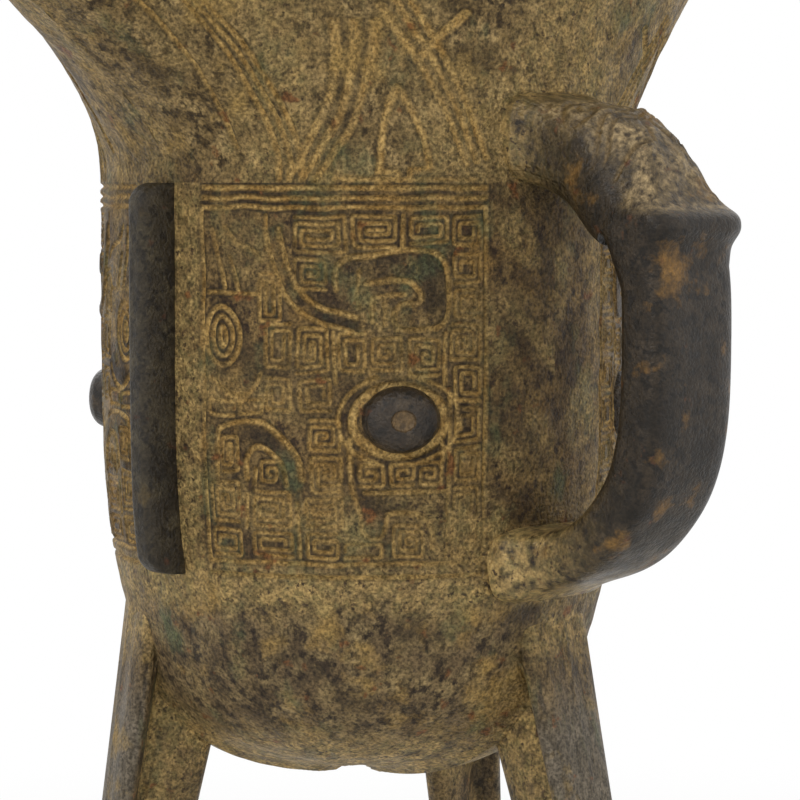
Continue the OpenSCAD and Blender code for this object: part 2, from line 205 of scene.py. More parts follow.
# ---- The cup's skin ----
def cup_radius(z, inset=0.0):
    """The egg-shaped bottom is a cubed oval: its radius grows as the cube root of 1 - (1 - rise) cubed."""
    up = np.clip((z - FLOOR_Z - inset) / BELLY_H, 0, 1)
    return (CUP_R - inset) * np.cbrt(1 - (1 - up) ** 3)


def spout_point(out, narrow, rise):
    return [lerp(CUP_R, SPOUT_REACH, out), lerp(MOUTH_HALF_W, LIP_HALF_W, narrow),
            lerp(SIDE_RISE, LIP_RISE, rise)]


def tail_point(out, wide, rise):
    return [lerp(SIDE_X, -TAIL_REACH, out), MOUTH_HALF_W * wide, lerp(SIDE_RISE, TAIL_RISE, rise)]


# Half the mouth's rim: angle at the neck, rim [along, across, rise], upright rise, slant at the rim
STATIONS = [
    [0, [SPOUT_REACH, 0, LIP_RISE - LIP_DEPTH], 5, [32, 0, 11]],
    [9, [SPOUT_REACH, LIP_HALF_W * 0.66, LIP_RISE - LIP_DEPTH * 0.8], 5, [32, 1, 11]],
    [18, [SPOUT_REACH, LIP_HALF_W, LIP_RISE - LIP_DEPTH * 0.3], 5, [32, 1.5, 11]],
    [24, spout_point(0.99, 0.98, 1), 5, [30, 2, 11]],
    [36, spout_point(0.51, 0.875, 0.62), 5, [18, 5, 13]],
    [50, spout_point(0.07, 0.52, 0.23), 4, [9, 7.5, 10.5]],
    [64, spout_point(-0.23, 0.21, 0.04), 4, [4, 6, 9]],
    [90, [SIDE_X, MOUTH_HALF_W, SIDE_RISE], 4, [0, 6, 10]],
    [118, tail_point(0.35, 0.95, 0.12), 4, [-6.5, 7.5, 11]],
    [140, tail_point(0.61, 0.74, 0.38), 4, [-12, 6, 14]],
    [160, tail_point(0.82, 0.4, 0.72), 3, [-18, 4, 17]],
    [172, tail_point(0.945, 0.15, 0.93), 3, [-19, 1.2, 19]],
    [180, [-TAIL_REACH, 0, TAIL_RISE], 3, [-20, 0, 20]],
]
STATION_ROWS = np.array([[s[0], *s[1], s[2], *s[3]] for s in STATIONS], float)


def station(angle):
    """The rim's row of numbers at an angle: cubic pieces between the stations, with slopes from their
    neighbours."""
    rows = STATION_ROWS
    before = np.maximum(np.arange(len(rows)) - 1, 0)
    after = np.minimum(np.arange(len(rows)) + 1, len(rows) - 1)
    slopes = (rows[after] - rows[before]) / (rows[after, :1] - rows[before, :1])
    i = np.clip(np.searchsorted(rows[:, 0], angle, side="right") - 1, 0, len(rows) - 2)
    step = (rows[i + 1, 0] - rows[i, 0])[:, None]
    t = (angle[:, None] - rows[i, :1]) / step
    return (rows[i] * (2 * t**3 - 3 * t**2 + 1) + slopes[i] * step * (t**3 - 2 * t**2 + t)
            + rows[i + 1] * (3 * t**2 - 2 * t**3) + slopes[i + 1] * step * (t**3 - t**2))


def mouth_skin(angle, t):
    """Columns from the neck (t = 0) to the rim (t = 1), each a cubic curve that leaves the neck upright."""
    s = station(np.abs(angle))
    side = np.sign(angle)
    a = np.radians(angle)
    flat = np.zeros_like(a)
    neck = np.stack([CUP_R * np.cos(a), CUP_R * np.sin(a), flat + NECK_Z], axis=1)
    rim = np.stack([s[:, 1], side * s[:, 2], NECK_Z + s[:, 3]], axis=1)
    above = neck + np.stack([flat, flat, s[:, 4]], axis=1)
    below = rim - np.stack([s[:, 5], side * s[:, 6], s[:, 7]], axis=1)
    t = np.asarray(t, float)[None, :, None]
    u = 1 - t
    return (neck[:, None] * u**3 + above[:, None] * 3 * u * u * t + below[:, None] * 3 * u * t * t
            + rim[:, None] * t**3)


def outward(points, around=False):
    """Unit normals of a grid whose first direction runs round the cup and whose second runs up."""
    if around:
        wide = np.roll(points, -1, axis=0) - np.roll(points, 1, axis=0)
    else:
        wide = np.gradient(points, axis=0)
    n = np.cross(wide, np.gradient(points, axis=1))
    return n / np.maximum(np.linalg.norm(n, axis=-1, keepdims=True), 1e-9)


# ---- Ornament, as grooves cut into the skin ----
# A quarter of the band is a flat sheet: s runs from the handle's (or rear flange's) axis towards the
# spout's or tail's flange, and h up from the band's lower edge. Each stroke is a path with the half width
# of its groove.
GROOVE = 0.2
PITCH = 0.75
DEEP = 0.4
# BORDER: how far the painted shade beside each groove reaches
BORDER = 0.34
CORNER = 0.28


def spiral(s0, s1, h0, h1, flip_s=False, flip_h=False, half=GROOVE, pitch=PITCH):
    """Thunder-pattern spiral: straight runs that turn a corner each time they come a pitch from the run
    before."""
    a, b, c, d = s0, s1, h0, h1
    path = [(a, c)]
    while b - a > 0.3 and d - c > 0.3:
        path += [(b, c), (b, d), (a, d)]
        c += pitch
        if d - c < 0.2:
            break
        path.append((a, c))
        a, b, d = a + pitch, b - pitch, d - pitch
    path = [(s0 + s1 - s if flip_s else s, h0 + h1 - h if flip_h else h) for s, h in path]
    return (cornered(path), half)


def cornered(path):
    """The same path with each corner cut off in three short steps, as a hand-cut groove turns."""
    p = np.asarray(path, float)
    made = [p[0]]
    for a, b, c in zip(p[:-2], p[1:-1], p[2:]):
        back, on = a - b, c - b
        near = min(CORNER, np.linalg.norm(back) / 2, np.linalg.norm(on) / 2)
        start, end = b + back / np.linalg.norm(back) * near, b + on / np.linalg.norm(on) * near
        made += [start, (start + end + 2 * b) / 4, end]
    return np.array(made + [p[-1]])


def beside(path, distance):
    """The same path moved sideways by a distance."""
    p = np.asarray(path, float)
    d = np.gradient(p, axis=0)
    d /= np.linalg.norm(d, axis=1, keepdims=True)
    return p + distance * np.stack([-d[:, 1], d[:, 0]], axis=1)


def smooth(path, steps=6):
    """A path rounded through its own points."""
    return along(path, np.linspace(0, 1, (len(path) - 1) * steps + 1))


def oval(s, h, half_s, half_h, start=0, end=360):
    a = np.radians(np.linspace(start, end, 40))
    return np.stack([s + half_s * np.cos(a), h + half_h * np.sin(a)], axis=1)


HORN_OUTSIDE = [(27.6, 38.3), (25, 38.55), (22.4, 38.9), (20.1, 39.2), (17.8, 39.05), (16.5, 38.4),
                (15.7, 37.3), (15.4, 35.6), (15.4, 33.2), (15.6, 31.4), (16.2, 30.3), (17.6, 29.8),
                (19.8, 29.6), (21.6, 30)]
HORN_INSIDE = [(25.2, 35.1), (22.7, 35.5), (20.3, 35.4), (19.1, 34.8), (18.5, 33.8), (18.9, 32.9),
               (20.4, 32.9), (21.4, 32.5), (21.9, 31.8), (21.8, 30.8), (21.3, 30.1)]
HORN_LEFT = [(27.6, 38.3), (28.7, 37.4), (28.9, 36), (28.7, 34.6)]
S_BAND = [(36.3, 41.5), (35.6, 38.4), (34.7, 36), (33.6, 33.9), (32.2, 32.3), (30.4, 31.4), (28.3, 31),
          (26.4, 30.4)]
SNOUT_CURL = [(43.8, 12.6), (43.7, 15), (43.5, 17.6), (42.6, 18.4), (40.9, 18.8), (38.9, 18.8), (37.4, 18.6),
              (35.8, 17.6), (34.4, 16.2), (33.2, 14.4), (32.7, 12)]
SNOUT_INSIDE = [(39.9, 12), (39.8, 14.4), (38.9, 15.8), (37.6, 16), (36.4, 15.2), (35.2, 13.8), (34.6, 11.4)]
JAW_CURL = [(22.7, 8.1), (20.9, 8.3), (19, 8.2), (17.7, 7.4), (17.1, 6.1), (17, 4)]
JAW_LOBE = [(25.9, 8), (25.6, 6.2), (24.6, 5.2), (23.3, 5.4), (22.8, 6.8), (22.7, 8.1)]


def mask_strokes():
    """Half a taotie mask: C-horn, round eye and curled jaw, with a small dragon beyond it, on a thunder
    ground."""
    strokes = [([(s, h0), (s, h1)], half) for s, h0, h1, half in [
        (10.4, 2.1, 44.1, 0.24), (45.7, 2.1, 44.1, 0.24), (20.7, 39.4, 43.2, 0.26), (15.7, 23.4, 29.4, 0.24),
        (15.2, 2.9, 22.6, 0.22), (37.2, 39.2, 43.2, 0.22), (28.9, 23.4, 29.6, 0.2)]]
    strokes += [([(10.4, h), (45.7, h)], half) for h, half in
                [(46.4, 0.27), (45.2, 0.25), (44.1, 0.24), (2.1, 0.25), (0.5, 0.27)]]
    # Horn, band and the lines that follow them
    strokes += [(smooth(p), 0.3) for p in (HORN_OUTSIDE, HORN_INSIDE, HORN_LEFT)]
    strokes += [(smooth([(24.4, 33.5), (22.4, 33.9), (20.4, 33.9)]), 0.24),
                ([(24.5, 33.4), (24.4, 30.9)], 0.24), ([(22.95, 33.2), (22.95, 30.6)], 0.22),
                ([(26, 36.8), (26.2, 33.4), (25.8, 32.3)], 0.2)]
    strokes += [(beside(smooth(S_BAND), d), 0.27) for d in (-0.85, 0.85)]
    # Eye with its socket, and the cheek that runs down to the jaw
    strokes += [(oval(21.3, 19.2, 5.5, 4.1), 0.52), (oval(21.3, 19.2, 7.3, 5.4, 100, 262), 0.22),
                (oval(21.3, 19.2, 7.3, 5.3, -70, 70), 0.22),
                (smooth([(27.1, 17), (27, 15), (26.8, 12), (26.4, 9.6), (25.9, 8)]), 0.28),
                (smooth([(16.6, 17.6), (15.9, 15.4), (16.2, 13.8)]), 0.24)]
    # Jaw
    strokes += [([(25.3, 10.7), (15.4, 10.7)], 0.26), (smooth(JAW_CURL), 0.28), (smooth(JAW_LOBE), 0.26)]
    # Dragon: nested oval eye, brow, wedge-shaped crest and curled snout
    strokes += [(oval(42.9, 28.8, 2.3, 3.5), 0.27), (oval(42.9, 28.8, 1.35, 2.4), 0.24),
                (oval(42.9, 28.8, 0.4, 1.2), 0.26)]
    strokes += [(smooth([(44.6, 23.8), (42.8, 22.6), (41.3, 22), (39.7, 22.3), (38.6, 23.2), (37.9, 24.6)]),
                 0.28),
                (smooth([(44.2, 41.6), (43.6, 38.8), (42.9, 36.5), (42.4, 34.6)]), 0.27),
                (smooth([(42.6, 41.8), (41.1, 40), (39.6, 39.4), (38.4, 38.7), (37.7, 37.8)]), 0.27),
                (smooth([(41.9, 38.4), (41, 36), (40.6, 34.2)]), 0.22), ([(44.9, 34), (38.2, 34)], 0.22)]
    strokes += [(smooth(SNOUT_CURL), 0.29), (smooth(SNOUT_INSIDE), 0.28),
                (smooth([(38.9, 11.4), (38.7, 13.4)]), 0.22), ([(39.9, 10), (39.9, 6.4)], 0.24),
                ([(33.4, 9.4), (33.4, 2.9)], 0.22)]
    # Thunder ground
    for box in [(21.7, 26.7, 39.5, 43, 0, 0), (15.6, 19.7, 40, 43, 1, 0), (27.6, 33.4, 38.9, 43, 1, 1),
                (11.2, 14.7, 39.7, 43, 0, 1), (11.2, 14.6, 35.4, 38.6, 1, 0), (11.2, 14.6, 31.2, 34.5, 0, 0),
                (11.2, 14.9, 26.2, 30.3, 1, 1), (11.2, 14.4, 21.4, 25.2, 0, 0),
                (11.2, 14.4, 16.7, 20.5, 1, 0), (11.2, 14.4, 12, 15.8, 0, 1), (11.2, 14.4, 7.2, 11.1, 1, 1),
                (11.2, 14.4, 2.9, 6.3, 0, 0), (25.3, 28.3, 24.9, 29.4, 0, 1), (21, 24.4, 25.1, 28.9, 1, 0),
                (16.4, 20, 24.6, 28.6, 0, 0), (29.7, 33.2, 24.9, 29.9, 1, 0),
                (34.2, 37.2, 25.4, 30.4, 0, 1), (35.4, 38, 30.9, 36.2, 1, 1), (30, 33.4, 34.6, 38, 0, 0),
                (29.6, 32.9, 20.3, 23.9, 0, 0), (34, 37, 20.2, 24, 1, 1), (41.4, 44.8, 19.7, 21.4, 0, 0),
                (37.6, 40.6, 19.8, 21.5, 1, 0), (28.3, 31.9, 15.6, 19.2, 1, 1),
                (28.1, 31.6, 10.8, 14.7, 0, 0), (28, 32.4, 6.6, 9.9, 1, 0), (28.6, 32.4, 2.9, 5.7, 0, 1),
                (23.2, 25.8, 11.5, 14, 1, 0), (19.5, 22.3, 11.5, 14.1, 0, 0), (16.1, 18.6, 11.5, 14, 1, 1),
                (18.2, 21.8, 3, 6.8, 0, 1), (23.2, 27.6, 2.9, 4.5, 1, 0), (41, 44.8, 6.9, 11.6, 0, 0),
                (34.3, 38.9, 6.6, 10.6, 1, 1), (34.3, 38.9, 2.9, 5.7, 0, 0), (40.8, 44.8, 2.9, 5.9, 1, 0),
                (40.9, 42.9, 13, 17, 1, 0), (36, 38, 12, 14.4, 0, 1)]:
        strokes.append(spiral(*box[:4], flip_s=bool(box[4]), flip_h=bool(box[5])))
    return strokes


# The smooth dark parts that stand up from the spirals: middle lines and half widths
RAISED = [
    ([(26.9, 36.7), (24.5, 36.9), (21.8, 37.2), (19.4, 37.2), (17.6, 36.6), (16.9, 35.2), (16.8, 33.2),
      (17.2, 31.9), (18.6, 31.2), (20.4, 31.3)], 1.35),
    (S_BAND, 0.62),
    ([(42.9, 23.9), (41.6, 23.6), (39.9, 24), (39.2, 25.4)], 0.8),
    ([(41.8, 12.4), (41.8, 15.4), (40.9, 17), (38.9, 17.4), (36.9, 17), (35.2, 15.6), (33.9, 13.6),
      (33.5, 11.6)], 0.85),
    ([(36.4, 12.2), (37.6, 13.6), (38.4, 12.4)], 0.8),
    ([(24.6, 9.3), (21, 9.4), (17.6, 9), (16, 7.4), (15.8, 4.6)], 0.85),
]


def raised_parts(s, h):
    return groove_depth(s, h, [(smooth(path), half) for path, half in RAISED], soft=0.5)


def nose_strokes():
    """The rear mask's nose: an upright column of spirals beside the flange, between lines that widen
    downwards."""
    steps = np.arange(3.2, 40, 5.1)
    strokes = [spiral(2.6, 5.6, h, h + 4.2, flip_s=k % 2 == 0) for k, h in enumerate(steps)]
    strokes += [spiral(6.7, 9.6, h, h + 4.2, flip_h=k % 2 == 0) for k, h in enumerate(steps)]
    strokes += [([(1.9, h), (10.4, h)], 0.25) for h in (46.4, 45.2, 44.1, 2.1, 0.5)]
    return strokes


def blade_strokes(towards_spout):
    """Upright blades on the neck: three nested lines a side that meet at a tip, and one long blade under
    the spout or tail. s is measured as on the band, and h up the skin from the band's upper edge."""
    left = [(31.2, 0), (30.3, 1.4), (28.5, 3.3), (26.5, 5.6), (24.7, 8), (23, 10.6), (21.7, 13.4),
            (20.7, 16), (19.9, 19.2)]
    right = [(12.8, 2.2), (13.5, 4.2), (14.4, 7), (15.3, 9.4), (16.2, 11.6), (17.2, 14.3), (18.4, 17.6),
             (19.4, 21)]
    strokes = [(beside(smooth(left), d), 0.38) for d in (0, -1.45, -2.9)]
    strokes += [(beside(smooth(right), d), 0.34) for d in (0, 1.3, 2.5)]
    strokes += [(smooth([(23.8, 1.4), (22.8, 4.7), (21.2, 8), (19.4, 11.6)]), 0.36),
                (smooth([(17.6, 1.6), (17.9, 5), (18.6, 8.6), (19.4, 11.6)]), 0.34),
                ([(17.2, 14.3), (14.6, 17.4), (12.4, 20)], 0.42),
                ([(23.8, 1.4), (21.4, 1.3), (21.3, -0.6)], 0.3), ([(17.6, 1.6), (20, 1.5), (20, -0.6)], 0.3),
                ([(28.9, 0.5), (12, 0.4)], 0.26)]
    reach = 1.0 if towards_spout else 0.72
    for gap in (0, 1.35, 2.7):
        edge = [(32.8 + gap, 0.4), (32.2 + gap, 10), (32.8 + gap, 21), (36.4 + gap, 36 * reach),
                (42.2 + gap * 0.8, 50 * reach), (48.2 + gap * 0.5, 62 * reach)]
        strokes.append((smooth(edge), 0.36))
    strokes += [(smooth([(40.5, 4), (40.2, 14), (41.8, 24), (45.6, 36 * reach)]), 0.34)]
    return strokes


def groove_depth(s, h, strokes, wider=0.0, soft=0.2):
    """1 on the floor of a groove and 0 on the ground: from the distance to the nearest stroke, on a regular
    grid."""
    cut = np.zeros((len(s), len(h)), np.float32)
    step_s, step_h = s[1] - s[0], h[1] - h[0]
    for path, half in strokes:
        half = half + wider
        p = np.asarray(path, float)
        reach = half + soft
        for a, b in zip(p[:-1], p[1:]):
            low, high = np.minimum(a, b) - reach, np.maximum(a, b) + reach
            i0, i1 = np.clip(((np.array([low[0], high[0]]) - s[0]) / step_s).astype(int) + [0, 2], 0, len(s))
            j0, j1 = np.clip(((np.array([low[1], high[1]]) - h[0]) / step_h).astype(int) + [0, 2], 0, len(h))
            if i0 >= i1 or j0 >= j1:
                continue
            x, y = s[i0:i1, None] - a[0], h[None, j0:j1] - a[1]
            d = b - a
            t = np.clip((x * d[0] + y * d[1]) / max(d @ d, 1e-9), 0, 1)
            away = np.hypot(x - t * d[0], y - t * d[1])
            part = ease((half + soft / 2 - away) / soft)
            cut[i0:i1, j0:j1] = np.maximum(cut[i0:i1, j0:j1], part)
    return cut


def drift(x, y, size, seed):
    """Slow, smooth unevenness from -1 to 1: a sum of six waves of about that size, in directions set by the
    seed."""
    rng = np.random.default_rng(seed)
    total = 0
    for turn, phase, stretch in zip(rng.uniform(0, 2 * np.pi, 6), rng.uniform(0, 2 * np.pi, 6),
                                    rng.uniform(0.6, 1.6, 6)):
        total = total + np.sin((x * np.cos(turn) + y * np.sin(turn)) * 2 * np.pi / (size * stretch) + phase)
    return total / 3.2


def sample(field, s, h, at_s, at_h):
    """Reads a regular grid of values at other places, blended from the four nearest."""
    x = np.clip((at_s - s[0]) / (s[1] - s[0]), 0, len(s) - 1.001)
    y = np.clip((at_h - h[0]) / (h[1] - h[0]), 0, len(h) - 1.001)
    i, j = x.astype(int), y.astype(int)
    a, b = x - i, y - j
    return ((field[i, j] * (1 - a) + field[i + 1, j] * a) * (1 - b)
            + (field[i, j + 1] * (1 - a) + field[i + 1, j + 1] * a) * b)


# ---- Finishes ----
def srgb(code):
    """A hex colour as linear RGBA."""
    parts = [int(code[i:i + 2], 16) / 255 for i in (1, 3, 5)]
    return tuple(c / 12.92 if c <= 0.04045 else ((c + 0.055) / 1.055) ** 2.4 for c in parts) + (1.0,)


def add_node(tree, kind, inputs=None, **settings):
    """Adds a node, sets its plain settings, and gives each input a value or a link from another node's
    output."""
    node = tree.nodes.new(kind)
    for key, value in settings.items():
        setattr(node, key, value)
    for key, value in (inputs or {}).items():
        if isinstance(value, bpy.types.NodeSocket):
            tree.links.new(value, node.inputs[key])
        else:
            node.inputs[key].default_value = value
    return node


def per_mm(size):
    """A noise scale whose features are about that many millimetres across, on coordinates in metres."""
    return 1 / (size * MM)


def bronze(name, ground, light, dark, earth, rust, roughness, metallic, rub=(1, 1, 1), bump=0.12, fill=None,
           ridge=None, face=None, green=None, crust=None, earth_from=0.55, grain=(0.5, 1.55), gleam=0.22):
    """Cast bronze under a thin old patina. Mottles of a lighter and a darker brown lie over the ground
    colour, then earth, green corrosion and small rust-red specks; rub stretches the mottles along the way
    the metal was rubbed. A coat given as three colours changes from the belly's to the band's to the neck's
    with the height."""
    finish = bpy.data.materials.new(name)
    finish.use_nodes = True
    tree = finish.node_tree
    tree.nodes.clear()
    place = add_node(tree, "ShaderNodeTexCoord").outputs["Object"]
    drawn = add_node(tree, "ShaderNodeMapping", {"Vector": place, "Scale": rub}).outputs[0]

    def mottle(size, detail, low, high, where=drawn, rough=0.6):
        noise = add_node(tree, "ShaderNodeTexNoise",
                         {"Vector": where, "Scale": per_mm(size), "Detail": detail,
                                                      "Roughness": rough}).outputs["Fac"]
        return add_node(tree, "ShaderNodeMapRange", {0: noise, 1: low, 2: high}).outputs[0]

    def mix(factor, a, b, how="MIX"):
        return add_node(tree, "ShaderNodeMix", {0: factor, 6: a, 7: b}, data_type="RGBA",
                        blend_type=how).outputs[2]

    def times(a, b):
        return add_node(tree, "ShaderNodeMath", {0: a, 1: b}, operation="MULTIPLY").outputs[0]

    def marked(attribute):
        return add_node(tree, "ShaderNodeAttribute", attribute_name=attribute).outputs["Fac"]

    height = add_node(tree, "ShaderNodeSeparateXYZ", {0: place}).outputs["Z"]
    ragged = add_node(tree, "ShaderNodeMapRange", {0: mottle(4, 4, 0.3, 0.7, place), 3: -JOIN_WANDER * MM,
                                                   4: JOIN_WANDER * MM}).outputs[0]
    height = add_node(tree, "ShaderNodeMath", {0: height, 1: ragged}, operation="ADD").outputs[0]

    def above(z):
        return add_node(tree, "ShaderNodeMapRange",
                        {0: height, 1: (z - JOIN_BLEND) * MM, 2: (z + JOIN_BLEND) * MM}
                        ).outputs[0]

    def colour(code):
        if isinstance(code, str):
            return srgb(code)
        lower = mix(above(BAND_LOW), srgb(code[0]), srgb(code[1]))
        return mix(above(BAND_HIGH), lower, srgb(code[2]))

    coat = mix(mottle(2.4, 5, 0.44, 0.6), colour(ground), colour(light))
    coat = mix(mottle(1.2, 4, 0.46, 0.6), coat, colour(dark))
    coat = mix(times(mottle(8, 4, 0.52, 0.64, place), 0.75), coat, colour(dark))
    # The face mark: greyer leg faces and paler pupils, and on the head a paler worn face with painted top
    # light and painted highlights
    if face:
        strip = mix(mottle(0.9, 3, 0.36, 0.66), srgb(face[0]), srgb(face[1]))
        coat = mix(marked("face"), coat, strip)
    # One mark carries painted shade along groove edges and in the legs' creases, and also the raised parts'
    # own dark tone
    if ridge:
        shade_and_relief_share = times(marked("ridge"), mottle(4, 3, 0.28, 0.5, place))
        coat = mix(shade_and_relief_share, coat, colour(ridge))
    if fill:
        soil = mix(mottle(1.6, 4, 0.4, 0.64), srgb(fill[0]), srgb(fill[1]))
        packed = times(marked("cut"), mottle(5, 3, 0.28, 0.42, place))
        coat = mix(packed, coat, soil)
    coat = mix(times(mottle(7, 5, earth_from, earth_from + 0.14, place), 0.85), coat, colour(earth))
    if green:
        coat = mix(times(mottle(5.4, 5, 0.56, 0.72, drawn), 0.7), coat, srgb(green))
    if crust:
        crusted = times(marked("crust"), mottle(1.7, 5, 0.3, 0.54, place))
        pale = mix(mottle(1.3, 4, 0.42, 0.6, place), srgb(crust[0]), srgb(crust[1]))
        pale = mix(mottle(0.8, 3, 0.58, 0.66, place), pale, srgb(crust[2]))
        coat = mix(crusted, coat, pale)
    coat = mix(times(mottle(2.6, 4, 0.65, 0.72, place, 0.5), 0.85), coat, srgb(rust))
    fine = mottle(0.42, 3, 0.36, 0.64, place)
    shade = add_node(tree, "ShaderNodeMapRange", {0: fine, 3: grain[0], 4: grain[1]}).outputs[0]
    coat = add_node(tree, "ShaderNodeVectorMath", {0: coat, 1: shade}, operation="MULTIPLY").outputs[0]
    worn = mottle(3.2, 4, 0.34, 0.68)
    gloss = add_node(tree, "ShaderNodeMapRange", {0: worn, 3: roughness[0], 4: roughness[1]}).outputs[0]
    pitted = add_node(tree, "ShaderNodeMath", {0: fine, 1: times(mottle(1.9, 4, 0.3, 0.7), 1.6)},
                      operation="ADD")
    relief = add_node(tree, "ShaderNodeBump",
                      {"Height": pitted.outputs[0], "Strength": 1.0, "Distance": bump * MM})
    shader = add_node(tree, "ShaderNodeBsdfPrincipled", {"Base Color": coat, "Roughness": gloss,
                                                         "Metallic": metallic, "Normal": relief.outputs[0],
                                                         "Specular IOR Level": gleam})
    add_node(tree, "ShaderNodeOutputMaterial", {"Surface": shader.outputs[0]})
    return finish


# The coats of belly, band and neck run into each other over a ragged strip, in millimetres
JOIN_BLEND = 1.4
JOIN_WANDER = 2.6
# Old cast bronze is a dull metal under mineral crust, so it is only partly metallic and mostly rough.
# Pale ochre, grey-green and dark crust gathers where castings meet
CRUST = ("#ab8f5a", "#7f6f45", "#463725")
# The cup: olive-brown with ochre soil in its grooves, painted shade along the borders beside them and the
# raised parts' own dark tone
CUP_FINISH = bronze("cast_bronze_olive_patina", ("#69573c", "#624f32", "#78633e"),
                    ("#8a7650", "#82693f", "#a38a5c"), ("#382d20", "#37291b", "#43351f"),
                    ("#977a44", "#8a6c3c", "#9a7e48"), "#704827", (0.42, 0.64), 0.1, rub=(1, 1, 0.75),
                    fill=("#b5965c", "#94743f"), ridge=("#3c3022", "#33281a", "#3c301e"), green="#525a3c",
                    crust=CRUST, bump=0.14)
# The handle: almost black and softly shining from handling. The head's upper face is paler, partly from wear
# and partly painted top light, with painted highlights along its worn upper edge and on the lip's top
HANDLE_FINISH = bronze("cast_bronze_hand_worn_black", "#2b2319", "#3d3327", "#1b1610", "#87632e", "#5c3a22",
                       (0.28, 0.46), 0.14, bump=0.05, fill=("#6b5736", "#3e3220"),
                       face=("#a08a64", "#3b3022"), crust=CRUST, earth_from=0.6, grain=(0.68, 1.32),
                       gleam=0.3)
# The legs: filed lengthwise, so the mottles run up them, with greyer outer faces and painted shadow in the
# creases beside the webs
LEG_FINISH = bronze("cast_bronze_filed_leg", "#64533a", "#806a45", "#3a2f20", "#8d733e", "#764a2b",
                    (0.42, 0.62), 0.1, rub=(1, 1, 0.3), face=("#6f6556", "#4f473a"), green="#525a3c",
                    crust=CRUST, ridge="#2a2319")
# The flanges: dark, smooth brown
EDGE_FINISH = bronze("cast_bronze_dark_flange", "#373024", "#4c4433", "#241f18", "#5c4b2a", "#4d3120",
                     (0.32, 0.5), 0.16, bump=0.06, earth_from=0.6, grain=(0.7, 1.3), gleam=0.3)
# The eye bosses: the glossiest brown, with duller, paler pupils
EYE_FINISH = bronze("cast_bronze_polished_eye", "#30271d", "#4a3e2f", "#1d1812", "#4f3f25", "#4d3120",
                    (0.24, 0.4), 0.16, bump=0.08, face=("#6e5736", "#4c3c26"), earth_from=0.66,
                    grain=(0.75, 1.25), gleam=0.4)
# The lining: dull and soiled
INSIDE_FINISH = bronze("cast_bronze_soiled_lining", "#5f553d", "#776848", "#433a2a", "#83734a", "#5f3c26",
                       (0.6, 0.8), 0.05)
# The chaplets: a paler alloy than the wall's
CHAPLET_FINISH = bronze("bronze_chaplet_paler_patina", "#7a6c4c", "#8c7d5b", "#5f5339", "#7d6b40", "#6a3f28",
                        (0.4, 0.6), 0.14)

# ---- Cup: belly, decorated band, neck with its blades, rim and lining ----
BELLY_COLUMNS = 600
BELLY_ROWS = 130
# The cast bottom hangs this much lower and fuller than the plain oval
SAG = 0.75
belly_turn = np.radians(np.linspace(0, 360, BELLY_COLUMNS, endpoint=False))
belly_rise = np.linspace(0.02, 1, BELLY_ROWS) ** 1.6
belly_z = FLOOR_Z + (BAND_LOW - FLOOR_Z) * belly_rise
belly_r = cup_radius(belly_z)
belly = np.stack([np.cos(belly_turn)[:, None] * belly_r, np.sin(belly_turn)[:, None] * belly_r,
                  np.broadcast_to(belly_z, (BELLY_COLUMNS, BELLY_ROWS))], axis=-1)


def beside_legs(x, y, z):
    """1 against a leg's web and falling off sideways from it: where the castings' fillets and crust
    gather."""
    near = 0
    for angle, _ in LEGS.values():
        a = math.radians(angle)
        across = np.abs(y * math.cos(a) - x * math.sin(a))
        out = x * math.cos(a) + y * math.sin(a)
        near = np.maximum(near, np.exp(-np.maximum(across - 0.2 * LEG_W, 0) / 2.2) * (out > 4))
    return near * ease((LEG_TOP_Z + 2 - z) / 5)


fillet = beside_legs(belly[..., 0], belly[..., 1], belly[..., 2])
sagged = ease((LEG_ROOT_Z + 4 - belly_z) / 14)[None]
lumps = 0.1 * drift(belly_turn[:, None] * CUP_R, belly_z[None], 14, 4)
lumps = lumps + 0.07 * drift(belly[..., 0], belly[..., 2], 3.2, 5)
belly_lift = SAG * sagged + 1.5 * fillet * sagged + lumps * ease((BAND_LOW - belly_z) / 3)
belly += outward(belly, around=True) * belly_lift[..., None]
belly_crust = np.clip(np.maximum.reduce([
    0.95 * fillet, ease((belly_z[None] - 91.5) / 4) * 0.8 + 0 * fillet,
    ease((80.5 - belly_z[None]) / 6) + 0 * fillet])
    + 0.25 * drift(belly_turn[:, None] * CUP_R, belly_z[None], 9, 6), 0, 1)
belly_points = np.concatenate([belly.reshape(-1, 3), [[0, 0, FLOOR_Z - SAG]]])
add_piece("cup_belly", belly_points,
          [squares(BELLY_COLUMNS, BELLY_ROWS, around=True),
           fan(np.arange(BELLY_COLUMNS) * BELLY_ROWS, BELLY_COLUMNS * BELLY_ROWS, outward=False)],
          CUP_FINISH, "cup_bronze", ["cup_body"], crust=np.append(belly_crust.ravel(), 1))

# Points round and up one quarter of the band, about six to a millimetre
BAND_COLUMNS = 306
BAND_ROWS = 278
band_s = np.linspace(0, QUARTER, BAND_COLUMNS)
band_h = np.linspace(0, BAND_HIGH - BAND_LOW, BAND_ROWS)
front_cut = groove_depth(band_s, band_h, mask_strokes())
front_border = groove_depth(band_s, band_h, mask_strokes(), BORDER)
rear_cut = np.maximum(front_cut, groove_depth(band_s, band_h, nose_strokes()))
rear_border = np.maximum(front_border, groove_depth(band_s, band_h, nose_strokes(), BORDER))
raised = raised_parts(band_s, band_h)
RAISED_BY = 0.2
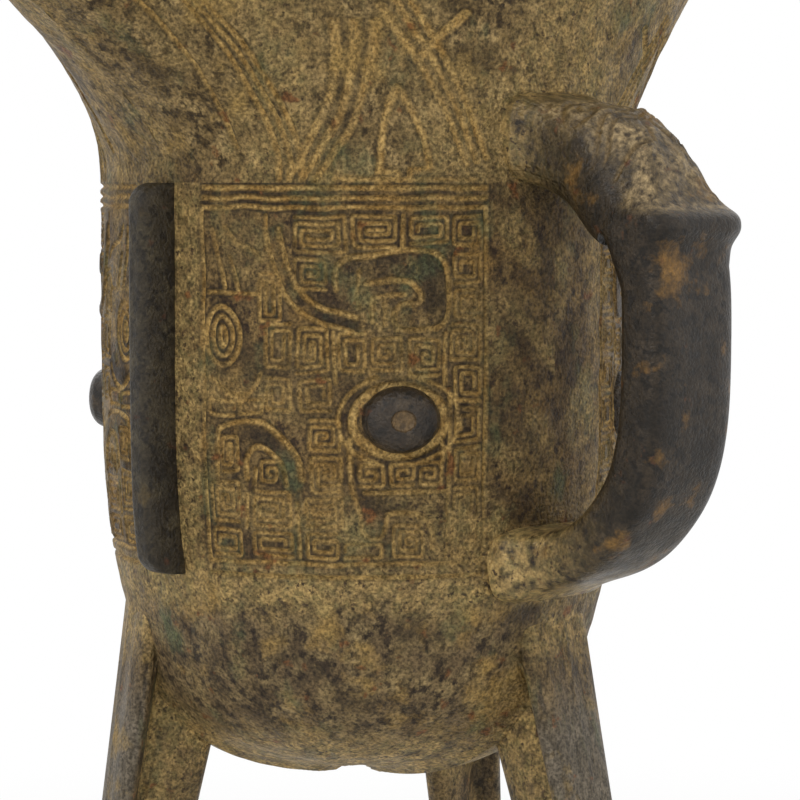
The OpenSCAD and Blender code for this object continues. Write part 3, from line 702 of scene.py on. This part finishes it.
# Each quarter: the angle of its mask's axis, the way it runs, its grooves, their borders and a seed for its
# wear
BAND_QUARTERS = {
    "band_handle_to_spout": (90, -1, front_cut, front_border, 11),
    "band_handle_to_tail": (90, 1, front_cut, front_border, 12),
    "band_rear_to_spout": (270, 1, rear_cut, rear_border, 13),
    "band_rear_to_tail": (270, -1, rear_cut, rear_border, 14),
}
for name, (start, way, cut, border, seed) in BAND_QUARTERS.items():
    s, h = np.meshgrid(band_s, band_h, indexing="ij")
    still = ease(s / 2) * ease((QUARTER - s) / 2) * ease(h / 1.5) * ease((BAND_HIGH - BAND_LOW - h) / 1.5)
    at = (band_s, band_h, s + 0.16 * still * drift(s, h, 9, seed),
          h + 0.16 * still * drift(s, h, 8, seed + 20))
    # Wear and crust take most of the lines away in the band's lower corner by the handle
    kept = np.clip(0.86 + 0.3 * drift(s, h, 16, seed + 40), 0.45, 1)
    kept = kept * (1 - 0.7 * np.exp(-((s - 12) / 5) ** 2 - ((h - 6) / 6) ** 2))
    worn = sample(cut, *at) * kept
    # Painted shade along the edges of the grooves: the border field less the grooves themselves
    ridge = np.clip(sample(border, *at) - sample(cut, *at), 0, 1) * kept
    high = sample(raised, *at) * still
    z = BAND_LOW + h
    uneven = 0.05 * still * drift(s, h, 6, seed + 60)
    r = cup_radius(z) - DEEP * worn + RAISED_BY * high * (1 - worn) + uneven
    a = np.radians(start) + way * s / CUP_R
    points = np.stack([r * np.cos(a), r * np.sin(a), z], axis=-1)
    # The raised parts' own dark tone shares this mark with the painted groove-edge shade
    ridge = np.maximum(ridge, high * (1 - sample(cut, *at)))
    crust = np.maximum.reduce([0.75 * ease((s - 45.6) / 1.2), 0.8 * ease((3.2 - h) / 3),
                               0.6 * (1 - kept) / 0.7, 0.9 * np.exp(-(s / 9) ** 2 - ((h - 1) / 7) ** 2),
                               0.6 * ease(11 - s) * ease(1.6 * drift(s, h, 11, seed + 90))])
    crust = np.clip(crust + 0.2 * drift(s, h, 8, seed + 80) * (crust > 0.05), 0, 1)
    if way < 0:
        points, worn, ridge, crust = points[::-1], worn[::-1], ridge[::-1], crust[::-1]
    add_piece(name, points, squares(BAND_COLUMNS, BAND_ROWS), CUP_FINISH, "relief_bronze", ["cup_body"],
              cut=np.clip(worn, 0, 1), ridge=ridge, crust=crust)

RIM_R = WALL / 2
neck_t = np.linspace(0, 1, 215)


def stopped_short(points):
    """Columns cut short of the rim by the rim's own radius, at even steps of their old parameter."""
    lengths = np.linalg.norm(np.diff(points, axis=1), axis=2)
    run = np.concatenate([np.zeros((len(points), 1)), np.cumsum(lengths, axis=1)], axis=1)
    share = 1 - RIM_R / run[:, -1:]
    at = neck_t[None, :] * share * (points.shape[1] - 1)
    i = np.clip(at.astype(int), 0, points.shape[1] - 2)
    f = (at - i)[..., None]
    rows = np.arange(len(points))[:, None]
    return points[rows, i] * (1 - f) + points[rows, i + 1] * f, run[rows, i] + f[..., 0] * lengths[rows, i]


def spread(low, high, count):
    """Angles crowded towards the spout and tail, where the rim turns sharply and its columns fan out."""
    t = np.linspace(low, high, count)
    return t - 11 * np.sin(np.radians(2 * t))


blades, blade_borders = {}, {}
blade_s = np.linspace(0, QUARTER, 400)
blade_h = np.linspace(0, 75, 560)
for towards_spout in (True, False):
    blades[towards_spout] = groove_depth(blade_s, blade_h, blade_strokes(towards_spout))
    blade_borders[towards_spout] = groove_depth(blade_s, blade_h, blade_strokes(towards_spout), BORDER)

skins = {}
for name, low, high, seed in [("neck_handle_side", 0.0, 180.0, 31), ("neck_rear_side", -180.0, 0.0, 32)]:
    angle = spread(low, high, 430)
    angle[0], angle[-1] = low + (1e-6 if low == 0 else 0), high - (1e-6 if high == 0 else 0)
    skin, run = stopped_short(mouth_skin(angle, np.linspace(0, 1, 600)))
    base = skin[:, :1] * [1, 1, 0] + [0, 0, BAND_HIGH]
    skin = np.concatenate([lerp(base, skin[:, :1], np.linspace(0, 1, 6)[None, :-1, None]), skin], axis=1)
    run = np.concatenate([np.broadcast_to(np.linspace(0, 2, 6)[:-1], (len(angle), 5)), run + 2], axis=1)
    from_axis = np.abs(np.abs(angle) - 90)
    s = np.broadcast_to(CUP_R * np.radians(from_axis)[:, None], run.shape)
    shift = 0.22 * ease(run / 3)
    at_s, at_h = s + shift * drift(s, run, 11, seed), run + shift * drift(s, run, 10, seed + 5)
    spout_half = np.abs(angle)[:, None] < 90
    lines, borders = (np.where(spout_half, sample(fields[True], blade_s, blade_h, at_s, at_h),
                               sample(fields[False], blade_s, blade_h, at_s, at_h))
                      for fields in (blades, blade_borders))
    tall = run[:, -1:]
    kept = np.clip(0.86 + 0.26 * drift(s, run, 15, seed + 9), 0.4, 1) * ease((tall - run) / 3)
    worn = lines * kept
    # Painted shade along the edges of the neck's grooves
    ridge = np.clip(borders - lines, 0, 1) * kept
    normal = outward(skin)
    uneven = ease(run / 3) * ease((tall - run) / 3)
    lumps = 0.12 * drift(s, run, 13, seed + 13) + 0.05 * drift(s, run, 4, seed + 17)
    shaped = skin + normal * (uneven * lumps - 0.36 * worn)[..., None]
    crust = np.clip(0.9 * np.exp(-(s / 11) ** 2 - ((run - 5) / 9) ** 2) + 0.25
                    + 0.4 * drift(s, run, 19, seed + 21), 0, 1)
    add_piece(name, shaped, squares(*shaped.shape[:2]), CUP_FINISH, "cup_bronze", ["cup_body"],
              cut=np.clip(worn, 0, 1), ridge=ridge, crust=crust * (1 - worn))
    skins[name] = (angle, skin, normal)

# The rim is a half-round bead that joins the skin to the lining, and the lining follows the skin at the wall
ring_angle = spread(-180, 180, 720)[:-1]
ring_angle = np.where(np.abs(ring_angle) < 1e-6, 1e-6, ring_angle)
ring_skin, _ = stopped_short(mouth_skin(ring_angle, np.linspace(0, 1, 300)))
ring_normal = outward(ring_skin, around=True)
edge, edge_normal = ring_skin[:, -1], ring_normal[:, -1]
upward = edge - ring_skin[:, -2]
upward /= np.linalg.norm(upward, axis=1, keepdims=True)
bend = np.linspace(0, math.pi, 15)[None, :, None]
bead = (edge[:, None] + edge_normal[:, None] * RIM_R * (np.cos(bend) - 1)
        + upward[:, None] * RIM_R * np.sin(bend))
add_piece("cup_rim", bead, squares(len(ring_angle), 15, around=True), CUP_FINISH, "cup_bronze", ["cup_body"])

lining_rows = slice(0, None, 3)
lining_up = (ring_skin - WALL * ring_normal)[:, lining_rows]
lining_up = np.concatenate([lining_up[:, :-1], bead[:, -1:]], axis=1)
cave_z = FLOOR_Z + WALL + (NECK_Z - FLOOR_Z - WALL) * np.linspace(0.01, 1, 60)[:-1] ** 1.5
cave_r = cup_radius(cave_z, WALL)
cave_a = np.radians(ring_angle)
cave = np.stack([np.cos(cave_a)[:, None] * cave_r, np.sin(cave_a)[:, None] * cave_r,
                 np.broadcast_to(cave_z, (len(cave_a), len(cave_z)))], axis=-1)
lining = np.concatenate([cave, lining_up], axis=1)
lining_points = np.concatenate([lining.reshape(-1, 3), [[0, 0, FLOOR_Z + WALL]]])
count, rows = lining.shape[:2]
add_piece("cup_lining", lining_points,
          [squares(count, rows, around=True)[:, ::-1],
           fan(np.arange(count) * rows, count * rows, outward=True)],
          INSIDE_FINISH, "cup_bronze", ["cup_body"])

# ---- Eye bosses ----
BOSS_PROFILE = [(1.06, -0.5), (1.04, 0), (0.99, 0.3), (0.9, 0.58), (0.74, 0.82), (0.55, 0.95), (0.38, 1),
                (0.33, 0.97), (0.3, 0.88), (0.2, 0.84), (0.02, 0.83)]


def eye_boss():
    """An oval dome with a flat, slightly sunk pupil: one profile of [share of the oval, lift] taken round
    it."""
    profile = along(BOSS_PROFILE, np.linspace(0, 1, 60))
    turn = np.radians(np.linspace(0, 360, 96, endpoint=False))[None, :]
    size, lift = profile[:, :1], profile[:, 1:]
    across = size * BOSS_W / 2 * np.cos(turn)
    curve = CUP_R - np.sqrt(CUP_R**2 - across**2)
    out = cup_radius(BOSS_Z) + lift * BOSS_PROUD - curve * (lift < 0.5)
    return np.stack([out + 0 * turn, across, BOSS_Z + size * BOSS_H / 2 * np.sin(turn)], axis=-1)


for name, angle in EYE_ANGLES.items():
    points, faces = closed_loft(turned(eye_boss(), angle))
    pupil = np.repeat(ease((0.36 - along(BOSS_PROFILE, np.linspace(0, 1, 60))[:, 0]) / 0.06), 96)
    add_piece(name + "_boss", points, faces, EYE_FINISH, "relief_bronze", [name],
              face=np.concatenate([pupil, [0, 1]]))

# ---- Flanges ----
def flange():
    """A plate in the radial plane, taken up the wall: an oblong section with rounded edges and rounded
    corners."""
    z = np.linspace(BAND_LOW + 0.02, BAND_HIGH - 0.02, 190)[:, None]
    turn = np.radians(np.linspace(0, 360, 64, endpoint=False))[None, :]
    near_end = np.minimum(z - BAND_LOW, BAND_HIGH - z)
    corner = np.sqrt(np.clip(1 - (1 - np.minimum(near_end / 2.6, 1)) ** 2, 0, 1))
    dented = 0.12 * (1 - drift(z, 0 * z, 17, 71)) * corner
    outer = cup_radius(z) + FLANGE_PROUD * (0.3 + 0.7 * corner) - dented
    inner = cup_radius(z, SEAT)
    c, s = rounded(turn, 0.42)
    r = (outer + inner) / 2 + (outer - inner) / 2 * c
    return np.stack([r, s * (FLANGE_T / 2) * (1 - 0.12 * (c > 0) * c) + 0 * z, z + 0 * turn], axis=-1)


for name, angle in FLANGE_ANGLES.items():
    points, faces = closed_loft(turned(flange(), angle))
    add_piece(name + "_plate", points, faces, EDGE_FINISH, "relief_bronze", [name])

# ---- Legs ----
# Half the section from the middle of the outer face round to the web's edge, as [inwards, across]
LEG_HALF = [(-0.03, 0), (-0.01, 0.16), (0.0, 0.34), (0.05, 0.475), (0.11, 0.5), (0.17, 0.48), (0.22, 0.38),
            (0.27, 0.27), (0.33, 0.235), (0.42, 0.235), (0.55, 0.235), (0.7, 0.21), (0.84, 0.17),
            (0.95, 0.1), (1, 0)]


def leg(lean):
    """The T-like section shrinks down the leg and leans outwards; where it meets the wall it follows it,
    let in, and swells a little just outside it, as a cast joint does. Its marks are face, groove and
    crust; the groove mark is painted shadow in the crease beside the web."""
    up = np.linspace(0, 1, 240)
    z = (LEG_TOP_Z * up)[:, None]
    half = along(LEG_HALF, np.linspace(0, 1, 60))
    section = np.concatenate([half, half[-2:0:-1] * [1, -1]])
    down = (LEG_ROOT_Z - z) / LEG_ROOT_Z
    slant = math.tan(math.radians(LEG_SPLAY + lean))
    outer = cup_radius(LEG_ROOT_Z) + 0.4 + (LEG_ROOT_Z - z) * slant + 0.8 * down * np.abs(down)
    narrow = (LEG_TOP_Z - z) / LEG_TOP_Z
    width = LEG_W * lerp(1, LEG_TIP, narrow**0.85)
    depth = LEG_D * lerp(1, LEG_TIP, narrow**0.95)
    foot = 1 - 0.08 * ease((1.4 - z) / 1.4)
    r = outer - section[None, :, 0] * depth
    t = section[None, :, 1] * width * foot
    gap = r - np.sqrt(np.maximum(cup_radius(z) ** 2 - t**2, 0))
    swell = np.exp(-np.clip(gap, 0, 9) / 1.1) * ease((z - FLOOR_Z + 6) / 8) * (section[None, :, 0] > 0.2)
    t = t * (1 + 0.28 * swell)
    deepest = cup_radius(z, SEAT)
    let_in = np.sqrt(np.maximum(deepest**2 - t**2, 0))
    r = np.where(r > let_in, r, let_in)
    face = ease((0.2 - section[:, 0]) / 0.08) * ease((86 - z) / 10)
    # Painted shadow in the crease where the web meets the outer plate
    groove = np.exp(-((section[:, 0] - 0.29) / 0.07) ** 2) * np.ones_like(z)
    crust = np.clip((0.1 + 0.8 * ease((z - 58) / 20)) * (section[:, 0] > 0.24)
                    + 0.25 * drift(r, z, 8, 91) * (section[:, 0] > 0.24) + 0.7 * ease((z - 84) / 6), 0, 1)
    return np.stack([r, t, z + 0 * r], axis=-1), face, groove, crust


for name, (angle, lean) in LEGS.items():
    leg_rings, *marks = leg(lean)
    points, faces = closed_loft(turned(leg_rings, angle))
    face, groove, crust = (np.concatenate([mark.ravel(), [0, 0]]) for mark in marks)
    add_piece(name + "_blade", points, faces, LEG_FINISH, "leg_bronze", [name], face=face, ridge=groove,
              crust=crust)

# ---- Handle: strap and animal head ----
# The strap's middle line as [out, up], and the head's blocks as [out, up, half width, half height, slope].
# Both start inside the wall, so that no end face shows
STRAP_LINE = [(CUP_R - 2.4, FOOT_Z - 0.4), (CUP_R + 3.5, FOOT_Z + 0.8), (CUP_R + 9, FOOT_Z + 2.6),
              (STRAP_MID - 6, FOOT_Z + 5.6), (STRAP_MID - 2.4, FOOT_Z + 10.5),
              (STRAP_MID - 0.5, FOOT_Z + 17), (STRAP_MID, FOOT_Z + 26), (STRAP_MID - 0.4, SNOUT_Z - 6),
              (STRAP_MID - 2.8, SNOUT_Z + 0.4)]
HEAD_LINE = [(CUP_R - 2.4, HEAD_ROOT_Z + 0.4, HEAD_W * 0.41, HEAD_H / 2, 0),
             (CUP_R + 6.3, HEAD_ROOT_Z - 2.1, HEAD_W * 0.43, HEAD_H / 2 * 1.27, -6),
             (STRAP_MID - 6.9, HEAD_ROOT_Z - 5, HEAD_W * 0.48, HEAD_H / 2 * 1.56, -17),
             (STRAP_MID - 3.45, HEAD_ROOT_Z - 8.2, HEAD_W / 2, HEAD_H / 2 * 1.32, -38),
             (STRAP_MID - 1.5, SNOUT_Z - 1.5, STRAP_W / 2 + 0.7, STRAP_T / 2 + 1.3, -80),
             (STRAP_MID - 0.42, SNOUT_Z - 8, STRAP_W / 2 - 0.15, STRAP_T / 2 - 0.05, -88)]


def strap():
    """A rounded oblong carried along the handle's line in the plane of +Y, wider where it grows out of the
    wall, and its crust, which falls off with distance from the wall."""
    t = np.linspace(0, 1, 170)
    p = along(STRAP_LINE, t)
    d = np.gradient(p, axis=0)
    d /= np.linalg.norm(d, axis=1, keepdims=True)
    turn = np.radians(np.linspace(0, 360, 64, endpoint=False))[None, :]
    c, s = rounded(turn, 0.46)
    flare = np.exp(-np.clip(p[:, 0] - CUP_R, 0, 30) / 1.8)[:, None]
    across = STRAP_W / 2 * (1 + 0.15 * ease(1 - t / 0.2)[:, None] + 0.12 * flare) * c
    out = STRAP_T / 2 * (1 + 0.28 * flare) * s
    points = np.stack([across, p[:, :1] + d[:, 1:] * out, p[:, 1:] - d[:, :1] * out], axis=-1)
    return points, 0.95 * np.exp(-(np.clip(points[..., 1] - CUP_R, 0, 30) / 8.5) ** 2)


# Worn lines on the head's upper face, as [across, down the face from the neck], mirrored to the other side
FACE_LINES = [
    ([(0.9, 8.6), (3.4, 8), (5.7, 9), (6.4, 11), (5.3, 12.6), (3.7, 12.3), (3.3, 11)], 0.36),
    ([(1.6, 10), (2.6, 9.6), (4.3, 9.9), (4.9, 10.9)], 0.26),
    ([(0.8, 14.8), (2.8, 13.9), (5, 14.4), (6.9, 16.4)], 0.34),
    ([(1.3, 16.2), (2.9, 15.3), (4.6, 15.9), (6.2, 17.8)], 0.26),
    ([(0.7, 13), (0.8, 17), (1.7, 20.4)], 0.3),
    ([(2.4, 20.6), (4.4, 20.1), (6.4, 21)], 0.3),
]


def head():
    """Squared blocks blended along the head's line, wider at the neck. The upper face narrows towards the
    snout and is pushed in or out by bumps: the lip's roll, the bridge above it, brow and eye, and the worn
    lines."""
    t = np.linspace(0, 1, 260)
    p = along(HEAD_LINE, t)
    slope = np.radians(p[:, 4])[:, None]
    turn = np.radians(np.linspace(0, 360, 240, endpoint=False))[None, :]
    c, s = rounded(turn, 0.5)
    root = np.exp(-np.clip(p[:, :1] - CUP_R, 0, 40) / 2.8)
    tapered = ease((t[:, None] - 0.22) / 0.2) * ease((p[:, 1:2] - SNOUT_Z + 1) / 4)
    across = p[:, 2:3] * c * (1 + 0.26 * root) * (1 - 0.42 * np.maximum(s, 0) * tapered)
    lift = p[:, 3:4] * s * (1 + 0.12 * root)
    y = p[:, :1] - np.sin(slope) * lift
    z = p[:, 1:2] + np.cos(slope) * lift
    down = np.concatenate([[0], np.cumsum(np.hypot(np.diff(y[:, 60]), np.diff(z[:, 60])))])
    wide, deep = np.linspace(0, 9, 120), np.linspace(0, 40, 500)
    field = groove_depth(wide, deep, [(smooth(path), half) for path, half in FACE_LINES], soft=0.35)
    cut = sample(field, wide, deep, np.abs(across), down[:, None] + 0 * across) * ease(s / 0.5)
    upper = ease(s / 0.5)
    eye = np.exp(-((np.abs(across) - 3.6) / 1.2) ** 2 - ((down[:, None] - 18.2) / 0.9) ** 2) * upper
    brow = np.exp(-((np.abs(across) - 3.8) / 2.2) ** 2 - ((down[:, None] - 13.4) / 1.2) ** 2) * upper
    lip = np.exp(-np.abs((z - SNOUT_Z + 1) / 1.75) ** 2.6) * upper
    bridge = np.exp(-((z - SNOUT_Z - 3.6) / 2.2) ** 2) * upper
    worn = 0.12 * drift(y, z + across, 3.6, 51) + 0.07 * drift(y * s, across, 1.9, 52)
    push = 1.5 * lip - 0.85 * bridge - 0.35 * eye + 0.3 * brow - 0.24 * cut
    push = push + worn * ease((z - SNOUT_Z - 1) / 2)
    y = y - np.sin(slope) * push * np.sign(s)
    z = z + np.cos(slope) * push * np.sign(s)
    crust = 0.9 * np.exp(-np.clip(y - CUP_R + 1, 0, 30) / 4)
    # Painted highlight along the head's worn upper edge
    corner = np.exp(-((np.abs(c) - np.abs(s)) / 0.22) ** 2) * (s > 0)
    above_lip = ease((down[:, None] - 4) / 4) * ease((z - SNOUT_Z - 0.6) / 2)
    # The upper face painted paler, partly its worn tone and partly painted top light, plus the painted edge
    # highlight
    face = (ease((s - 0.2) / 0.5) * 0.6 + 0.5 * corner) * above_lip
    # Painted highlight on the lip's top
    painted_lip_highlight = 0.7 * np.exp(-((z - SNOUT_Z - 1.3) / 0.6) ** 2) * upper
    face = np.clip(np.maximum(face + 0.35 * drift(y, across, 3, 53) * (face > 0.1), painted_lip_highlight), 0, 1)
    marks = [mark[::-1] for mark in (np.clip(cut, 0, 1), np.clip(crust, 0, 1), face)]
    return np.stack([across, y, z], axis=-1)[::-1], marks


strap_rings, strap_crust = strap()
points, faces = closed_loft(strap_rings)
add_piece("handle_strap_bar", points, faces, HANDLE_FINISH, "handle_bronze", ["handle_strap"],
          crust=np.append(strap_crust.ravel(), [1, 0]))
head_rings, head_marks = head()
points, faces = closed_loft(head_rings)
cut, crust, face = (np.append(mark.ravel(), [0, 0]) for mark in head_marks)
add_piece("handle_head_block", points, faces, HANDLE_FINISH, "handle_bronze", ["handle_head"], cut=cut,
          crust=crust, face=face)

# ---- Posts with capped tops ----
post_station = station(np.array([47.0]))[0]
POST_X, POST_Y, POST_RIM_Z = post_station[1], post_station[2], NECK_Z + post_station[3]


def post():
    """A round post that narrows upwards, from its notch over the rim to its cap."""
    z = np.linspace(POST_RIM_Z - 5, POST_RIM_Z + POST_H - 0.05, 60)[:, None]
    turn = np.radians(np.linspace(0, 360, 64, endpoint=False))[None, :]
    up = (z - POST_RIM_Z + 5) / (POST_H + 5)
    r = POST_T / 2 * lerp(1, 0.62, up)
    return np.stack([r * np.cos(turn), r * np.sin(turn), z + 0 * turn], axis=-1)


def cap():
    """A low cone with a hollow flank, cut by a whorl of four curved arms between two rings."""
    bottom = POST_RIM_Z + POST_H + 0.05
    rim = CAP_H * 0.16
    bow = np.radians(90) * np.linspace(0.1, 1, 12)
    flank = np.stack([CAP_R * (1 - 0.78 * np.sin(bow * 0.92)),
                      rim * 1.3 + (CAP_H * 0.8 - rim) * (1 - np.cos(bow))], 1)
    profile = np.concatenate([[[0.4, 0], [CAP_R * 0.8, 0], [CAP_R, rim * 0.6], [CAP_R, rim * 1.3]], flank,
                              [[0.6, CAP_H]]])
    outline = along(profile, np.linspace(0, 1, 150))
    turn = np.radians(np.linspace(0, 360, 144, endpoint=False))[None, :]
    r, z = np.maximum(outline[:, :1], 0.05), outline[:, 1:]
    on_flank = ease((z - rim * 1.5) / 0.6) * ease((CAP_H * 0.86 - z) / 0.8)
    arms = ease((0.42 - np.abs(np.sin(2 * turn + r * 0.62))) / 0.3)
    rings = ease((0.28 - np.abs(z - rim * 1.9)) / 0.2) * (r > CAP_R * 0.4)
    r = r * (1 - 0.05 * np.maximum(arms * on_flank, rings))
    cut = np.maximum(arms * on_flank, rings) * np.ones_like(turn)
    return np.stack([r * np.cos(turn), r * np.sin(turn), bottom + z + 0 * turn], axis=-1), cut


cap_rings, cap_cut = cap()
for word, side in (("front", 1), ("rear", -1)):
    offset = np.array([POST_X, side * POST_Y, 0])
    points, faces = closed_loft(post() + offset)
    add_piece(f"{word}_post_shaft", points, faces, CUP_FINISH, "cup_bronze", [f"{word}_post"])
    points, faces = closed_loft(cap_rings + offset)
    add_piece(f"{word}_post_cap_whorl", points, faces, CUP_FINISH, "cup_bronze", [f"{word}_post_cap"],
              cut=np.concatenate([cap_cut.ravel(), [0, 0]]))

# ---- Chaplets: small squared plates, flush in the bottom ----
CHAPLET_Z = FLOOR_Z + 3.2


def chaplet():
    """A rounded square lying in the wall, whose face stands out by a hair and falls away at its edge."""
    size = np.array([1.0, 1.0, 0.97, 0.9, 0.5, 0.02])[:, None]
    lift = SAG + np.array([-1.0, 0.02, 0.1, 0.14, 0.16, 0.16])[:, None]
    turn = np.radians(np.linspace(0, 360, 48, endpoint=False))[None, :]
    c, s = rounded(turn, 0.45)
    slope = (cup_radius(CHAPLET_Z + 0.2) - cup_radius(CHAPLET_Z - 0.2)) / 0.4
    lean = math.atan(slope)
    x, y = size * CHAPLET / 2 * c, size * CHAPLET / 2 * s
    r = cup_radius(CHAPLET_Z) + x * math.sin(lean) + lift * math.cos(lean) - 0.02 * x**2
    z = CHAPLET_Z + x * math.cos(lean) - lift * math.sin(lean) + 0.02 * x**2
    return np.stack([r + 0 * turn, y, z], axis=-1)


plates = [turned(chaplet(), angle) for angle in (30, 150, 270)]
parts = [closed_loft(plate) for plate in plates]
offsets = np.cumsum([0] + [len(p) for p, _ in parts])
add_piece("chaplet_plates", np.concatenate([p for p, _ in parts]),
          [f + k for (_, faces), k in zip(parts, offsets) for f in faces], CHAPLET_FINISH, "chaplet_bronze",
          ["wall_chaplets"])


# ---- Floor, light and camera ----
def seen_plainly(tree):
    """1 for rays from the camera, off a glossy surface or through a clear one, which see the white
    background."""
    rays = add_node(tree, "ShaderNodeLightPath").outputs
    seen = add_node(tree, "ShaderNodeMath", {0: rays["Is Camera Ray"], 1: rays["Is Glossy Ray"]},
                    operation="MAXIMUM").outputs[0]
    return add_node(tree, "ShaderNodeMath", {0: seen, 1: rays["Is Transmission Ray"]},
                    operation="MAXIMUM").outputs[0]


def pale_floor():
    """White card: it keeps the vessel's shadow near it and turns to plain white light further out."""
    finish = bpy.data.materials.new("white_card")
    finish.use_nodes = True
    tree = finish.node_tree
    tree.nodes.clear()
    place = add_node(tree, "ShaderNodeTexCoord").outputs["Object"]
    away = add_node(tree, "ShaderNodeVectorMath", {0: place}, operation="LENGTH").outputs["Value"]
    far = add_node(tree, "ShaderNodeMapRange", {0: away, 1: 0.12, 2: 0.4},
                   interpolation_type="SMOOTHSTEP").outputs[0]
    share = add_node(tree, "ShaderNodeMath", {0: seen_plainly(tree), 1: far},
                     operation="MULTIPLY").outputs[0]
    card = add_node(tree, "ShaderNodeBsdfPrincipled", {"Base Color": srgb("#f7f7f5"), "Roughness": 0.8})
    glow = add_node(tree, "ShaderNodeEmission", {"Strength": 1.0})
    both = add_node(tree, "ShaderNodeMixShader", {0: share, 1: card.outputs[0], 2: glow.outputs[0]})
    add_node(tree, "ShaderNodeOutputMaterial", {"Surface": both.outputs[0]})
    return finish


FLOOR_HALF = 3.0
floor_mesh = bpy.data.meshes.new("floor")
floor_mesh.from_pydata([(-FLOOR_HALF, -FLOOR_HALF, 0), (FLOOR_HALF, -FLOOR_HALF, 0),
                        (FLOOR_HALF, FLOOR_HALF, 0), (-FLOOR_HALF, FLOOR_HALF, 0)], [], [(0, 1, 2, 3)])
floor_mesh.materials.append(pale_floor())
floor = bpy.data.objects.new("floor", floor_mesh)
bpy.context.scene.collection.objects.link(floor)

ROOM_LEVEL = 0.62
world = bpy.data.worlds.new("studio")
bpy.context.scene.world = world
world.use_nodes = True
sky = world.node_tree
sky.nodes.clear()
level = add_node(sky, "ShaderNodeMapRange", {0: seen_plainly(sky), 3: ROOM_LEVEL, 4: 1.0}).outputs[0]
room = add_node(sky, "ShaderNodeBackground", {"Color": (1, 1, 1, 1), "Strength": level})
add_node(sky, "ShaderNodeOutputWorld", {"Surface": room.outputs[0]})

CAMERA_AZIMUTH = 45.538
CAMERA_AWAY = 405.6
CAMERA_HEIGHT = 146.16
CAMERA_YAW = -0.681
CAMERA_PITCH = -4.146
FOCAL_PIXELS = 3193.0
PHOTO_PIXELS = 800
SENSOR_MM = 36.0


def lamp(name, azimuth, height, away, size, watts):
    """A soft square lamp that looks at the vessel's middle; azimuth is counted round the axis from the
    spout."""
    light = bpy.data.lights.new(name, "AREA")
    light.size = size
    light.energy = watts
    made = bpy.data.objects.new(name, light)
    bpy.context.scene.collection.objects.link(made)
    a = math.radians(azimuth)
    middle = Vector((0, 0, 0.11))
    made.location = Vector((away * math.cos(a), away * math.sin(a), height))
    made.rotation_euler = (middle - made.location).to_track_quat("-Z", "Y").to_euler()


lamp("key_from_upper_left", CAMERA_AZIMUTH - 38, 0.75, 0.8, 0.5, 3.6)
lamp("fill_from_right", CAMERA_AZIMUTH + 60, 0.4, 1.0, 0.8, 1.6)
lamp("rim_from_behind", CAMERA_AZIMUTH + 190, 0.6, 0.9, 0.5, 1.5)

camera = bpy.data.objects.new("camera", bpy.data.cameras.new("camera"))
bpy.context.scene.collection.objects.link(camera)
bpy.context.scene.camera = camera
camera.data.sensor_width = SENSOR_MM
camera.data.lens = FOCAL_PIXELS / PHOTO_PIXELS * SENSOR_MM
camera.data.clip_start = 0.01
camera.data.clip_end = 20
where = math.radians(CAMERA_AZIMUTH)
camera.location = Vector((CAMERA_AWAY * math.cos(where) + axis_mm[0],
                          CAMERA_AWAY * math.sin(where) + axis_mm[1], CAMERA_HEIGHT)) * MM
facing = math.radians(CAMERA_AZIMUTH + 180 + CAMERA_YAW)
pitch = math.radians(CAMERA_PITCH)
sight = Vector((math.cos(facing) * math.cos(pitch), math.sin(facing) * math.cos(pitch), math.sin(pitch)))
camera.rotation_euler = sight.to_track_quat("-Z", "Y").to_euler()

bpy.context.scene.view_settings.view_transform = "Standard"
